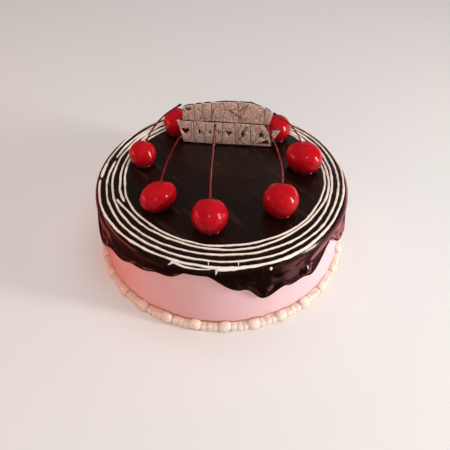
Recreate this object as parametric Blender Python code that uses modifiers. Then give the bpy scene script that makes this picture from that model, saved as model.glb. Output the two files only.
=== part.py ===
# A round birthday cake: a cream-coated cake under a poured chocolate glaze with drips, five piped lines
# on the glaze, a border of piped pearls at the foot, seven cherries with stems, and a glittered topper
# pushed in on two picks. Metres, +Z up. The origin is the centre of the base, and -Y is the front.
import math
import random

import bmesh
import bpy
from mathutils import Matrix, Vector

MM = 0.001

# Driving sizes
SIDE_RADIUS = 82.2 * MM
TOTAL_HEIGHT = 56.2 * MM  # floor to the top of the glaze
GLAZE = 1.8 * MM
EDGE_ROUND = 5.0 * MM  # outer rounding of the glaze at the rim
GAP = 0.3 * MM  # between pieces that touch
SEGMENTS = 108

AROUND_SIDE = SIDE_RADIUS + GAP
GLAZE_RADIUS = AROUND_SIDE + GLAZE
CREAM_TOP = TOTAL_HEIGHT - GLAZE - GAP
CREAM_ROUND = EDGE_ROUND - GLAZE - GAP

# Lower edge of the glaze: how far below the top it is everywhere, then one entry for each drip in front:
# angle from the front towards +X and half width in degrees, then how much lower it runs
EDGE_DROP = 5.5 * MM
FRONT_DRIPS = [
    (-70, 30, 26 * MM),
    (-44, 15, 12 * MM),
    (-31, 11, 8 * MM),
    (-21, 8, 6 * MM),
    (8, 16, 12 * MM),
    (18.5, 9.5, 18.5 * MM),
    (28, 11, 16.5 * MM),
    (41, 15, 20 * MM),
    (67, 17.5, 18 * MM),
    (80, 13, 20 * MM),
]
BACK_DRIPS = 9
BACK_FROM = 96  # degrees from the front, on round the back to BACK_TO
BACK_TO = 256
SIDE_ROWS = 3  # rows of faces down the glaze's side

# Piped lines: radius, how far the centre has wandered to +X and +Y, the height, number and first
# crest of the waves that the hand made, and the angle where the line's two ends nearly meet
PIPED_LINES = [
    (80.9 * MM, 0.3 * MM, -0.3 * MM, (0.8 * MM, 4, -65), 182),
    (77.0 * MM, 0.8 * MM, 0.0, (0.6 * MM, 4, -62), 167),
    (73.4 * MM, 0.5 * MM, 1.4 * MM, (0.6 * MM, 4, -55), 95),
    (69.6 * MM, 1.2 * MM, 2.3 * MM, (0.6 * MM, 5, -6), 202),
    (66.9 * MM, 1.6 * MM, 2.7 * MM, (0.3 * MM, 7, -50), 150),
]
LINE_RADIUS = 0.7 * MM
LINE_LIFT = 0.1 * MM
LINE_GAP = 1.6  # degrees
LINE_POINTS = 50

# Pearl border at the foot: large pearls with small ones between, each as its reach out from the side
# and its height
LARGE_PEARLS = 28
SMALL_BETWEEN = 3
LARGE_PEARL = (5.1 * MM, 7.1 * MM)
SMALL_PEARL = (3.9 * MM, 4.8 * MM)
LARGE_LENGTH = 7.5 * MM  # along the ring
FIRST_PEARL = -88.2  # degrees
NECK = 0.55  # size between two pearls, as a share of the small one's
# Section of a pearl as shares of its reach and height, from its top out and down to the foot of the side
PEARL_SECTION = [(0, 0.94), (0.6, 0.96), (1, 0.48), (0.62, 0), (0, 0)]
# Columns of each pearl, as shares of its half length from its middle
LARGE_COLUMNS = (-0.72, -0.28, 0.28, 0.72)
SMALL_COLUMNS = (-0.5, 0.5)

# Cherries: place on the top as radius and angle, width, stretch and its direction, lean of the stem's
# axis as direction and degrees from upright, and the stem's tip above the glaze
CHERRIES = {
    "cherry_left": (56.0, 164.8, 18.6, (1.0, 0), (67, 45), (-26.8, 22.5, 42)),
    "cherry_front_left": (48.8, -143.9, 18.8, (1.35, 46), (77, 42), (-24.9, -11.0, 41)),
    "cherry_front": (48.5, -98.2, 22.3, (1.0, 0), (88, 46), (-3.9, -10.0, 49)),
    "cherry_front_right": (49.7, -42.2, 22.6, (1.0, 0), (83, 45), (26.5, -3.9, 45)),
    "cherry_right": (56.0, 10.7, 21.8, (1.18, -40), (106, 44), (32.9, 15.9, 40)),
    "cherry_back_right": (59.8, 49.3, 19.5, (1.0, 0), (160, 52), (5.0, 54.5, 19)),
    "cherry_back_left": (61.0, 122.2, 20.2, (1.0, 0), (25, 52), (-5.5, 58.5, 18)),
}
CHERRY_CENTRE = 0.41  # height of the centre over the glaze, as a share of the width
DIMPLE_DEPTH = 0.16  # as shares of the cherry's radius
DIMPLE_WIDTH = 0.30
STEM_RADIUS = 0.6 * MM
STEM_BEND = 0.45  # where the stem's bend point lies, as a share of its span
STEM_POINTS = 8

# Topper: a plate of uneven tiles in two rows on two picks, leaning back
TOPPER_FOOT = (2.6 * MM, 36.2 * MM)
TOPPER_TURN = -4.7  # degrees about +Z
TOPPER_LEAN = 8  # degrees back from upright
TOPPER_THICK = 1.6 * MM
# Each row as its tiles from left to right, each with its width in mm and the shape cut through the
# plate, then how far the row's middle is to +X, and its lowest and highest point
LOWER_ROW = (
    (
        (12.1, "heart"), (7.9, "lozenge"), (7.1, "star"), (5.0, "lozenge"), (9.3, "heart"),
        (10.7, "lozenge"), (15.0, "star"),
    ),
    -1.4 * MM, 0.4 * MM, 17.4 * MM,
)
UPPER_ROW = (
    ((8.2, "heart"), (5.9, "lozenge"), (6.0, None), (18.6, None), (18.0, None), (6.2, None)),
    0.7 * MM, 17.4 * MM, 33.6 * MM,
)
# The upper row's highest point across, and how far its top falls to its left and its right end
CROWN_AT = 12.0 * MM
CROWN_FALL = (5.5 * MM, 7.2 * MM)
TILE_NOTCH = 0.9 * MM  # width of the notch between tiles
# How far each slanted end is cut in: the lower row's foot on the left and top on the right, and the
# upper row's foot on the right
LEFT_TAPER = 4.5 * MM
RIGHT_TAPER = 3.5 * MM
UPPER_TAPER = 2.0 * MM
# Pointed piece at the lower row's right end: its reach, then its foot, its inner corner and its tip
FLAG_REACH = 6.0 * MM
FLAG_HEIGHTS = (3.5 * MM, 7.5 * MM, 14.0 * MM)
# Shapes cut through the tiles: their size as a share of the tile's width, and the most that it may be
WINDOW_SHARE = 0.26
WINDOW_MOST = 3.3 * MM
PICK_WIDTH = 2.2 * MM
PICK_LENGTH = 13.0 * MM
PICK_AT = 21.0 * MM  # each side of the middle

MATERIALS = {
    # name: colour, roughness, metallic
    "cream": ((0.75, 0.38, 0.41), 0.5, 0.0),
    "chocolate": ((0.012, 0.006, 0.004), 0.12, 0.0),
    "pearl_cream": ((0.86, 0.69, 0.55), 0.5, 0.0),
    "cherry": ((0.50, 0.006, 0.01), 0.15, 0.0),
    "glitter": ((0.52, 0.38, 0.32), 0.35, 0.7),
}


def clear_scene():
    for obj in list(bpy.data.objects):
        bpy.data.objects.remove(obj)


def new_collection(name, helper=False):
    made = bpy.data.collections.new(name)
    made.hide_render = helper
    bpy.context.scene.collection.children.link(made)
    return made


def new_material(name):
    colour, roughness, metallic = MATERIALS[name]
    made = bpy.data.materials.new(name)
    made.use_nodes = True
    shader = made.node_tree.nodes["Principled BSDF"]
    shader.inputs["Base Color"].default_value = (*colour, 1)
    shader.inputs["Roughness"].default_value = roughness
    shader.inputs["Metallic"].default_value = metallic
    made.diffuse_color = (*colour, 1)
    return made


def add_object(name, data, collection, material=None):
    obj = bpy.data.objects.new(name, data)
    collection.objects.link(obj)
    if material:
        data.materials.clear()
        data.materials.append(material)
    return obj


def finish_bmesh(bm, name):
    mesh = bpy.data.meshes.new(name)
    bm.to_mesh(mesh)
    bm.free()
    return mesh


def baked(obj):
    """Makes an object's evaluated shape its own mesh, with a curve's caps welded."""
    bpy.context.view_layer.update()
    graph = bpy.context.evaluated_depsgraph_get()
    mesh = bpy.data.meshes.new_from_object(obj.evaluated_get(graph))
    bm = bmesh.new()
    bm.from_mesh(mesh)
    bmesh.ops.remove_doubles(bm, verts=bm.verts, dist=1e-6)
    bm.to_mesh(mesh)
    bm.free()
    if obj.type == "MESH":
        obj.modifiers.clear()
        obj.data = mesh
        return obj
    made = bpy.data.objects.new(obj.name + "_mesh", mesh)
    made.matrix_world = obj.matrix_world
    for collection in obj.users_collection:
        collection.objects.link(made)
    bpy.data.objects.remove(obj)
    return made


def turned(name, profile, collection, material, steps=SEGMENTS, ring=False):
    """A shape turned about Z from (radius, height) points, outer side running top to bottom.
    A ring's profile is closed."""
    bm = bmesh.new()
    verts = [bm.verts.new((r, 0, z)) for r, z in profile]
    for a, b in zip(verts, verts[1:]):
        bm.edges.new((a, b))
    if ring:
        bm.edges.new((verts[-1], verts[0]))
    obj = add_object(name, finish_bmesh(bm, name), collection, material)
    screw = obj.modifiers.new("Turn", "SCREW")
    screw.steps = screw.render_steps = steps
    screw.use_merge_vertices = True
    screw.merge_threshold = 1e-5
    return baked(obj)


def rim_arc(radius, top, rounding, steps):
    """Points of a rounded rim, from the flat top down to the side."""
    turns = [math.radians(90 - 90 * i / steps) for i in range(steps + 1)]
    return [
        (radius - rounding * (1 - math.cos(t)), top - rounding * (1 - math.sin(t)))
        for t in turns
    ]


def top_height(radius):
    """Height of the glaze's outer surface at a radius on the top or the rounded rim."""
    past = max(0.0, radius - (GLAZE_RADIUS - EDGE_ROUND))
    return TOTAL_HEIGHT - EDGE_ROUND + math.sqrt(EDGE_ROUND**2 - past**2)


def back_drips():
    """Drips round the back, at an uneven spacing."""
    rng = random.Random(7)
    step = (BACK_TO - BACK_FROM) / BACK_DRIPS
    drips = []
    for i in range(BACK_DRIPS):
        angle = BACK_FROM + step * (i + 0.5 + rng.uniform(-0.18, 0.18))
        drips.append((angle, rng.uniform(9, 15), rng.uniform(9, 24) * MM))
    return drips


DRIPS = FRONT_DRIPS + back_drips()


def edge_drop(from_front):
    """How far the glaze's lower edge is below the top, at an angle from the front."""
    drop = EDGE_DROP
    for centre, half_width, depth in DRIPS:
        away = abs((from_front - centre + 180) % 360 - 180) / half_width
        if away < 1:
            drop += depth * math.cos(math.pi / 2 * away) ** 2
    return drop


def build_cake(collection, material):
    profile = [(0, CREAM_TOP), *rim_arc(SIDE_RADIUS, CREAM_TOP, CREAM_ROUND, 2)]
    profile += [(SIDE_RADIUS, 0), (0, 0)]
    return turned("cake", profile, collection, material)


def build_glaze(collection, material):
    """The glaze's outer surface is turned with a level edge, which the drips then pull down."""
    side_from = TOTAL_HEIGHT - EDGE_ROUND
    profile = [(0, TOTAL_HEIGHT), *rim_arc(GLAZE_RADIUS, TOTAL_HEIGHT, EDGE_ROUND, 3)]
    profile += [
        (GLAZE_RADIUS, side_from - row * EDGE_ROUND) for row in range(1, SIDE_ROWS + 1)
    ]
    glaze = turned("glaze", profile, collection, material)
    for v in glaze.data.vertices:
        row = round((side_from - v.co.z) / EDGE_ROUND)
        if row < 1:
            continue
        from_front = math.degrees(math.atan2(v.co.x, -v.co.y))
        lowest = TOTAL_HEIGHT - edge_drop(from_front)
        v.co.z = side_from + (lowest - side_from) * row / SIDE_ROWS
    wall = glaze.modifiers.new("Wall", "SOLIDIFY")
    wall.thickness = GLAZE
    wall.offset = -1
    wall.use_even_offset = True
    return baked(glaze)


def build_piping(collection):
    for index, (radius, shift_x, shift_y, wave, ends_at) in enumerate(PIPED_LINES):
        wave_height, waves, crest = wave
        curve = bpy.data.curves.new(f"line_{index}", "CURVE")
        curve.dimensions = "3D"
        curve.bevel_depth = LINE_RADIUS
        curve.bevel_resolution = 0
        curve.use_fill_caps = True
        spline = curve.splines.new("POLY")
        spline.points.add(LINE_POINTS - 1)
        for i, point in enumerate(spline.points):
            turn = ends_at + LINE_GAP / 2 + (360 - LINE_GAP) * i / (LINE_POINTS - 1)
            waved = radius + wave_height * math.cos(math.radians(waves * (turn - crest)))
            x = shift_x + waved * math.cos(math.radians(turn))
            y = shift_y + waved * math.sin(math.radians(turn))
            point.co = (x, y, top_height(math.hypot(x, y)) + LINE_LIFT, 1)
        baked(add_object(curve.name, curve, collection))


def fuse(obj, others):
    """Joins a collection's objects to obj in one union, then removes them."""
    join = obj.modifiers.new("Fuse", "BOOLEAN")
    join.operation = "UNION"
    join.operand_type = "COLLECTION"
    join.collection = others
    baked(obj)
    for other in list(others.objects):
        bpy.data.objects.remove(other)
    return obj


def cut(obj, cutter):
    cutting = obj.modifiers.new("Cut", "BOOLEAN")
    cutting.operation = "DIFFERENCE"
    cutting.object = cutter
    return baked(obj)


def pearl_columns():
    """One repeat of the border: each column's angle from the repeat's start, and its reach and height."""
    large_arc = math.degrees(LARGE_LENGTH / (AROUND_SIDE + LARGE_PEARL[0] / 2))
    small_arc = (360 / LARGE_PEARLS - large_arc) / SMALL_BETWEEN
    pearls = [(large_arc, LARGE_PEARL, LARGE_COLUMNS)]
    pearls += [(small_arc, SMALL_PEARL, SMALL_COLUMNS)] * SMALL_BETWEEN
    columns = []
    start = -large_arc / 2
    for arc, (reach, height), places in pearls:
        columns.append((start, NECK * SMALL_PEARL[0], NECK * SMALL_PEARL[1]))
        for place in places:
            share = math.sqrt(1 - place**2)
            columns.append((start + arc * (1 + place) / 2, reach * share, height * share))
        start += arc
    return columns


def build_border(collection, material):
    columns = pearl_columns()
    steps = LARGE_PEARLS * len(columns)
    reach, height = LARGE_PEARL
    profile = [(AROUND_SIDE + out * reach, up * height) for out, up in PEARL_SECTION]
    border = turned("border", profile, collection, material, steps, ring=True)
    for v in border.data.vertices:
        step = round(math.atan2(v.co.y, v.co.x) / math.tau * steps)
        repeat, column = divmod(step, len(columns))
        offset, column_reach, column_height = columns[column]
        turn = math.radians(FIRST_PEARL + repeat * 360 / LARGE_PEARLS + offset)
        out = (math.hypot(v.co.x, v.co.y) - AROUND_SIDE) / reach * column_reach
        up = v.co.z / height * column_height
        radius = AROUND_SIDE + out
        v.co = (radius * math.cos(turn), radius * math.sin(turn), up)
    return border


def toward(angle):
    """The level direction at an angle in degrees from +X."""
    turn = math.radians(angle)
    return Vector((math.cos(turn), math.sin(turn), 0))


def upright_to(direction):
    return direction.to_track_quat("Z", "Y").to_matrix().to_4x4()


def cherry_body(width, stretch, stretch_to, centre, axis):
    """A cherry with its stem's dimple on its axis, cut level where it rests on the glaze."""
    bm = bmesh.new()
    bmesh.ops.create_uvsphere(bm, u_segments=12, v_segments=8, radius=1)
    for v in bm.verts:
        off_axis = math.hypot(v.co.x, v.co.y)
        if v.co.z > 0:
            v.co.z -= DIMPLE_DEPTH * math.exp(-((off_axis / DIMPLE_WIDTH) ** 2))
    half = width / 2
    longer = Matrix.Rotation(math.radians(stretch_to), 4, "Z")
    lengthen = longer @ Matrix.Diagonal((half * stretch, half, half, 1)) @ longer.inverted()
    place = Matrix.Translation(centre) @ lengthen @ upright_to(axis)
    bmesh.ops.transform(bm, matrix=place, verts=bm.verts)
    cutting = bmesh.ops.bisect_plane(
        bm,
        geom=[*bm.verts, *bm.edges, *bm.faces],
        plane_co=(0, 0, TOTAL_HEIGHT + GAP),
        plane_no=(0, 0, -1),
        clear_outer=True,
    )
    rim = [e for e in cutting["geom_cut"] if isinstance(e, bmesh.types.BMEdge)]
    bmesh.ops.contextual_create(bm, geom=rim)
    bmesh.ops.recalc_face_normals(bm, faces=bm.faces)
    return bm


def stem_route(base, axis, tip):
    """Points along the stem's bend, from inside the dimple to the tip."""
    reach = (tip - base).length * STEM_BEND
    bend = base + axis * reach
    route = []
    for i in range(STEM_POINTS):
        t = i / (STEM_POINTS - 1)
        route.append(base * (1 - t) ** 2 + bend * (2 * t * (1 - t)) + tip * t**2)
    return route


def build_cherry(name, sizes, collection, stems, material):
    ring, angle, width, (stretch, stretch_to), (lean_to, lean), tip = sizes
    width *= MM
    centre = toward(angle) * ring * MM
    centre.z = TOTAL_HEIGHT + CHERRY_CENTRE * width
    upright = Vector((0, 0, 1))
    axis = toward(lean_to) * math.sin(math.radians(lean)) + upright * math.cos(math.radians(lean))
    bm = cherry_body(width, stretch, stretch_to, centre, axis)
    cherry = add_object(name, finish_bmesh(bm, name), collection, material)

    base = centre + axis * (width / 2 * (1 - 2 * DIMPLE_DEPTH))
    end = Vector(tip) * MM + upright * TOTAL_HEIGHT
    curve = bpy.data.curves.new(name + "_stem", "CURVE")
    curve.dimensions = "3D"
    curve.bevel_depth = STEM_RADIUS
    curve.bevel_resolution = 1
    curve.use_fill_caps = True
    spline = curve.splines.new("POLY")
    spline.points.add(STEM_POINTS - 1)
    for point, place in zip(spline.points, stem_route(base, axis, end)):
        point.co = (*place, 1)
    baked(add_object(curve.name, curve, stems))
    return fuse(cherry, stems)


def tile_edges(row):
    """Where the tiles of a row begin and end, from left to right."""
    tiles, middle, _, _ = row
    edges = [middle - sum(width for width, _ in tiles) * MM / 2]
    for width, _ in tiles:
        edges.append(edges[-1] + width * MM)
    return edges


def row_top(x):
    """Height of the upper row's crown across the plate."""
    edges = tile_edges(UPPER_ROW)
    end, fall = (edges[0], CROWN_FALL[0]) if x < CROWN_AT else (edges[-1], CROWN_FALL[1])
    return UPPER_ROW[3] - fall * ((x - CROWN_AT) / (end - CROWN_AT)) ** 2


def topper_outline():
    """The plate's edge, anticlockwise: picks below, the pointed end, and the tile tops with notches."""
    _, _, low, high = LOWER_ROW
    edges = tile_edges(LOWER_ROW)
    row_left, row_right = edges[0], edges[-1]
    outline = [(row_left + LEFT_TAPER, low)]
    for at in (-PICK_AT, PICK_AT):
        left, right = at - PICK_WIDTH / 2, at + PICK_WIDTH / 2
        shoulder = PICK_WIDTH - PICK_LENGTH
        outline += [(left, low), (left, shoulder), (at, -PICK_LENGTH), (right, shoulder), (right, low)]
    foot, corner, tip = FLAG_HEIGHTS
    outline += [(row_right, low), (row_right, foot), (row_right + FLAG_REACH, tip)]
    outline += [(row_right - TILE_NOTCH / 2, tip - TILE_NOTCH), (row_right - TILE_NOTCH, corner)]
    outline.append((row_right - RIGHT_TAPER, high - TILE_NOTCH))

    edges = tile_edges(UPPER_ROW)
    outline.append((edges[-1] - UPPER_TAPER, high + TILE_NOTCH))
    for left, right in reversed(list(zip(edges, edges[1:]))):
        middle = (left + right) / 2
        outline.append((right - TILE_NOTCH / 2, row_top(right) - TILE_NOTCH / 2))
        outline.append((middle, row_top(middle)))
        outline.append((left + TILE_NOTCH / 2, row_top(left) - TILE_NOTCH / 2))
        if left > edges[0]:
            outline.append((left, row_top(left) - 2 * TILE_NOTCH))
    outline += [(edges[0], high + TILE_NOTCH), (edges[0] - TILE_NOTCH, high)]
    outline.append((row_left, high - TILE_NOTCH))
    return outline


def star(points, outer, inner):
    """A star's corners, in turn on an outer and an inner circle; two points make a lozenge."""
    corners = []
    for i in range(2 * points):
        turn = math.pi * i / points + math.pi / 2
        size = inner if i % 2 else outer
        corners.append((size * math.cos(turn), size * math.sin(turn)))
    return corners


def heart(size, points=12):
    """A heart from the usual sine and cosine curve, with its middle at the origin."""
    shape = []
    for i in range(points):
        t = 2 * math.pi * i / points
        x = 16 * math.sin(t) ** 3
        y = 13 * math.cos(t) - 5 * math.cos(2 * t) - 2 * math.cos(3 * t) - math.cos(4 * t)
        shape.append((x * size / 16, (y + 2.5) * size / 16))
    return shape


def row_windows(row):
    """The shapes cut through one row, each centred on its tile and sized to it."""
    shapes = {
        "heart": heart(1),
        "lozenge": star(2, 1.35, 0.62),
        "star": star(5, 1.15, 0.55),
    }
    tiles, _, low, high = row
    windows = []
    for (width, name), left in zip(tiles, tile_edges(row)):
        if name is None:
            continue
        x = left + width * MM / 2
        top = row_top(x) if row is UPPER_ROW else high
        size = min(WINDOW_MOST, WINDOW_SHARE * width * MM)
        windows.append([(x + size * a, (low + top) / 2 + size * b) for a, b in shapes[name]])
    return windows


def topper_place():
    foot = Vector((*TOPPER_FOOT, TOTAL_HEIGHT + GAP))
    return (
        Matrix.Translation(foot)
        @ Matrix.Rotation(math.radians(TOPPER_TURN), 4, "Z")
        @ Matrix.Rotation(math.radians(90 - TOPPER_LEAN), 4, "X")
    )


def build_topper(collection, material):
    curve = bpy.data.curves.new("topper", "CURVE")
    curve.dimensions = "2D"
    curve.fill_mode = "BOTH"
    curve.extrude = TOPPER_THICK / 2
    for shape in [topper_outline(), *row_windows(LOWER_ROW), *row_windows(UPPER_ROW)]:
        spline = curve.splines.new("POLY")
        spline.points.add(len(shape) - 1)
        for point, (x, y) in zip(spline.points, shape):
            point.co = (x, y, 0, 1)
        spline.use_cyclic_u = True
    flat = add_object("topper_flat", curve, collection)
    flat.matrix_world = topper_place()
    topper = baked(flat)
    topper.name = "topper"
    topper.data.materials.clear()
    topper.data.materials.append(material)
    return topper


def pick_sockets(cutters):
    """Cutters for the sockets that the picks leave in the glaze and the cake."""
    made = []
    for side in (-1, 1):
        bm = bmesh.new()
        bmesh.ops.create_cube(bm, size=1)
        size = (PICK_WIDTH + 2 * GAP, 2 * PICK_LENGTH, TOPPER_THICK + 2 * GAP)
        bmesh.ops.scale(bm, vec=size, verts=bm.verts)
        bmesh.ops.translate(bm, vec=(side * PICK_AT, -GAP, 0), verts=bm.verts)
        bmesh.ops.transform(bm, matrix=topper_place(), verts=bm.verts)
        name = f"socket_{side}"
        socket = add_object(name, finish_bmesh(bm, name), cutters)
        socket.hide_render = True
        socket.display_type = "WIRE"
        made.append(socket)
    return made


def main():
    clear_scene()
    cake_parts = new_collection("birthday_cake")
    piping = new_collection("piping", helper=True)
    stems = new_collection("stems", helper=True)
    cutters = new_collection("cutters", helper=True)
    finishes = {name: new_material(name) for name in MATERIALS}

    sockets = pick_sockets(cutters)
    cake = build_cake(cake_parts, finishes["cream"])
    glaze = build_glaze(cake_parts, finishes["chocolate"])
    build_piping(piping)
    fuse(glaze, piping)
    for socket in sockets:
        cut(cake, socket)
        cut(glaze, socket)
    build_border(cake_parts, finishes["pearl_cream"])
    for name, sizes in CHERRIES.items():
        build_cherry(name, sizes, cake_parts, stems, finishes["cherry"])
    build_topper(cake_parts, finishes["glitter"])
    for obj in cake_parts.objects:
        obj.data.shade_smooth()
        obj.data.set_sharp_from_angle(angle=math.radians(35))


main()
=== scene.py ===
# The looks of a round birthday cake: pink cream, a poured chocolate glaze with drips, five piped lines,
# a border of piped pearls, seven cherries with stems and a glittered topper. Metres, +Z up, -Y the front.
import math
import random

import bmesh
import bpy
from bpy.props import FloatProperty, FloatVectorProperty, IntProperty, PointerProperty
from mathutils import Matrix, Quaternion, Vector, noise


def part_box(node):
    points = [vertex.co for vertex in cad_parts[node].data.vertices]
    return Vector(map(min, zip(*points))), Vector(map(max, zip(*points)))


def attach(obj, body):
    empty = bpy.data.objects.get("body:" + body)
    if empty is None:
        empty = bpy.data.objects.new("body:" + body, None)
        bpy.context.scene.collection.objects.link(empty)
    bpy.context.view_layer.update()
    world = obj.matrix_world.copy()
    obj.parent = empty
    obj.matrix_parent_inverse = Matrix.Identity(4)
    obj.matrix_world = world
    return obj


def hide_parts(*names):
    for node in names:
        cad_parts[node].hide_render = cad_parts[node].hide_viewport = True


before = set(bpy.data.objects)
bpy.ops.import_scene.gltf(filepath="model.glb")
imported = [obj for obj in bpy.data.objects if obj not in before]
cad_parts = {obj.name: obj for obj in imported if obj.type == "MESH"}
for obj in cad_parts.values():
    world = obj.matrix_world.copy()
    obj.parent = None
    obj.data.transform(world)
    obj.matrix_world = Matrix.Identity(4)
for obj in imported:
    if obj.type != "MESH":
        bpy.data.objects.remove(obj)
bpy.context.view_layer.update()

bl_info = {
    "name": "Birthday Cake",
    "version": (1, 0, 0),
    "blender": (4, 5, 0),
    "location": "View3D > Sidebar > Cake",
    "description": "Finishes a round birthday cake: cream, glaze, piping, pearls, cherries and topper",
    "category": "Add Mesh",
}

MM = 0.001

# Sizes of the cake and its glaze; the frame gives the cake's radius and height
SIDE_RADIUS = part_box("cake")[1].x
CREAM_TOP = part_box("cake")[1].z
GLAZE_OVER_CREAM = 2.1 * MM  # the glaze's thickness and the gap under it
GLAZE_TOP = CREAM_TOP + GLAZE_OVER_CREAM
GLAZE_RADIUS = SIDE_RADIUS + GLAZE_OVER_CREAM
RIM_ROUND = 5.0 * MM  # radius of the glaze's rounded edge
FLAT_RADIUS = GLAZE_RADIUS - RIM_ROUND
RIM_FOOT = GLAZE_TOP - RIM_ROUND
CREAM_ROUND = 2.9 * MM  # radius of the cream's edge under it
CREAM_RIM_ROWS = 5
CREAM_WALL_ROWS = 26
CREAM_STEPS = 300
KNIFE_WAVES = ((24, 0.22 * MM), (7, 0.06 * MM))  # length in mm and height of the knife's waves

# Lower edge of the glaze, as in the frame: drop below the top, then one entry for each drip in front:
# angle from the front towards +X and half width in degrees, then how much lower it runs
EDGE_DROP = 5.5 * MM
FRONT_DRIPS = [
    (-70, 30, 26 * MM),
    (-44, 15, 12 * MM),
    (-31, 11, 8 * MM),
    (-21, 8, 6 * MM),
    (8, 16, 12 * MM),
    (18.5, 9.5, 18.5 * MM),
    (28, 11, 16.5 * MM),
    (41, 15, 20 * MM),
    (67, 17.5, 18 * MM),
    (80, 13, 20 * MM),
]
# Thick folds where the glaze ran over itself: angle from the front in degrees, distance below the
# top in mm, half width in degrees, then half height and rise in mm
FOLDS = [
    (38.0, 18.0, 4.4, 4.6, 2.9),
    (33.0, 23.5, 3.0, 2.6, 1.6),
    (26.0, 11.0, 4.0, 2.6, 1.4),
    (18.5, 21.0, 4.0, 3.4, 1.6),
    (55.0, 14.0, 5.0, 3.2, 1.4),
    (-62.0, 17.0, 7.0, 4.0, 1.2),
]
# Drips round the back: their number and the angles from the front between which they lie
BACK_DRIPS = 9
BACK_FROM = 96
BACK_TO = 256
DEEPEST = 26 * MM  # a drip this long has the full thickness of the lip

# Rows of faces of the glaze and how the surface wanders
GLAZE_STEPS = 720
TOP_ROWS = 22
RIM_ROWS = 8
WALL_ROWS = 32
LIP_ROWS = 8
LIP_TURN = math.radians(160)  # how far the lip rolls under
WALL_THIN = 0.4 * MM  # how much thinner the glaze is half way down a drip
WALL_RELIEF = 0.7 * MM  # how far its slow waves rise on the side
EDGE_WANDER = 0.45 * MM
SLOPE_SPAN = 0.004  # radians on each side over which the lower edge's slope is read
STEEPEST = 2.4  # most that a steep edge stretches the lip's height
TOP_RIPPLE = 0.05 * MM
INNER_RADIUS = SIDE_RADIUS - 1.2 * MM
INNER_TOP = CREAM_TOP - 4 * MM

# Piped lines, in mm and degrees: distance from the middle over the surface, drift of the line's centre
# to +X and +Y, height, number and first crest of the hand's waves, the angle where it starts and how
# far it runs, and how far its start and its end are pulled outwards
LINES = [
    dict(reach=80.9, drift=(0.3, -0.3), wave=(0.8, 4, -65), start=182.5, sweep=358.8, pull=(0.4, -0.1)),
    dict(reach=77.0, drift=(0.8, 0.0), wave=(0.6, 4, -62), start=167.5, sweep=357.6, pull=(-0.5, 0.4)),
    dict(reach=73.4, drift=(0.5, 1.4), wave=(0.6, 4, -55), start=95, sweep=359.0, pull=(0.3, 0.0)),
    dict(reach=69.6, drift=(1.2, 2.3), wave=(0.6, 5, -6), start=-161, sweep=363.5, pull=(3.0, -0.6)),
    dict(reach=66.9, drift=(1.6, 2.7), wave=(0.3, 7, -50), start=150, sweep=359.0, pull=(0.0, 0.6)),
]
# Where a line is smeared: line, middle and half width in degrees, extra width as a share, and how far
# it is pushed outwards in mm
SMEARS = [
    (0, -89, 20, 0.35, 0.3),
    (0, -84, 5, 0.5, 0.35),
    (0, -60, 10, 0.35, 0.2),
    (0, 176, 7, 0.75, 0.0),
    (0, -48, 8, 0.3, 0.1),
    (2, 139, 14, 1.3, 0.4),
    (3, 134, 16, 0.6, 0.4),
    (3, 41, 14, 1.0, 0.5),
    (2, 38, 12, 0.4, 0.0),
    (4, 150, 12, 0.4, 0.6),
]
LINE_STEPS = 420
LINE_POINTS = 9
LINE_SINK = 0.25 * MM  # how deep its foot is in the glaze
LINE_WOBBLE = 0.22 * MM
PULL_OVER = 13  # degrees over which an end is pulled outwards
TAPER_OVER = 2.2  # degrees over which an end narrows

# Short strokes of icing: distance from the middle in mm and angle of points along each, then its
# width in mm where it leaves the line; it runs out to a point
STROKES = [
    (((81.4, -109.0), (82.6, -110.4), (84.0, -111.4)), 1.6),
    (((81.4, -110.5), (82.8, -105.0), (82.9, -99.5), (82.4, -94.0)), 1.5),
    (((80.8, -91.3), (82.6, -91.6), (85.4, -91.9)), 1.9),
    (((82.3, -91.5), (82.6, -88.0), (82.2, -82.0)), 1.8),
    (((77.2, -95.3), (80.4, -95.0)), 0.6),
    (((77.6, -82.4), (80.8, -82.8)), 0.6),
]
STROKE_STEPS = 12
STROKE_SIDES = 10
ICING_DROP = (85.4, -69.8, 2.5)  # distance from the middle in mm, angle, length in mm
DROP_HALF = (0.6 * MM, 0.9 * MM)  # its half height and half width

# Pearl border: large pearls with small ones between, each as its reach out from the side and its height
LARGE_PEARLS = 28
SMALL_BETWEEN = 3
LARGE_PEARL = (5.1 * MM, 7.1 * MM)
SMALL_PEARL = (3.9 * MM, 4.9 * MM)
LARGE_LENGTH = 7.6 * MM
FIRST_PEARL = -88.2  # degrees
PEARL_SINK = 1.6 * MM  # how far a pearl reaches into the side
LARGE_SQUARE = 0.85  # a power: at 1 a pearl is round, and below it is squarer
SMALL_SQUARE = (0.4, 0.5)
LARGE_OVERLAP = 1.1  # how many times as long as its arc a pearl is
SMALL_OVERLAP = 1.14
PEARL_FLAT = 0.82  # where the flat foot cuts the ball, as a share of its half height

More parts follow.
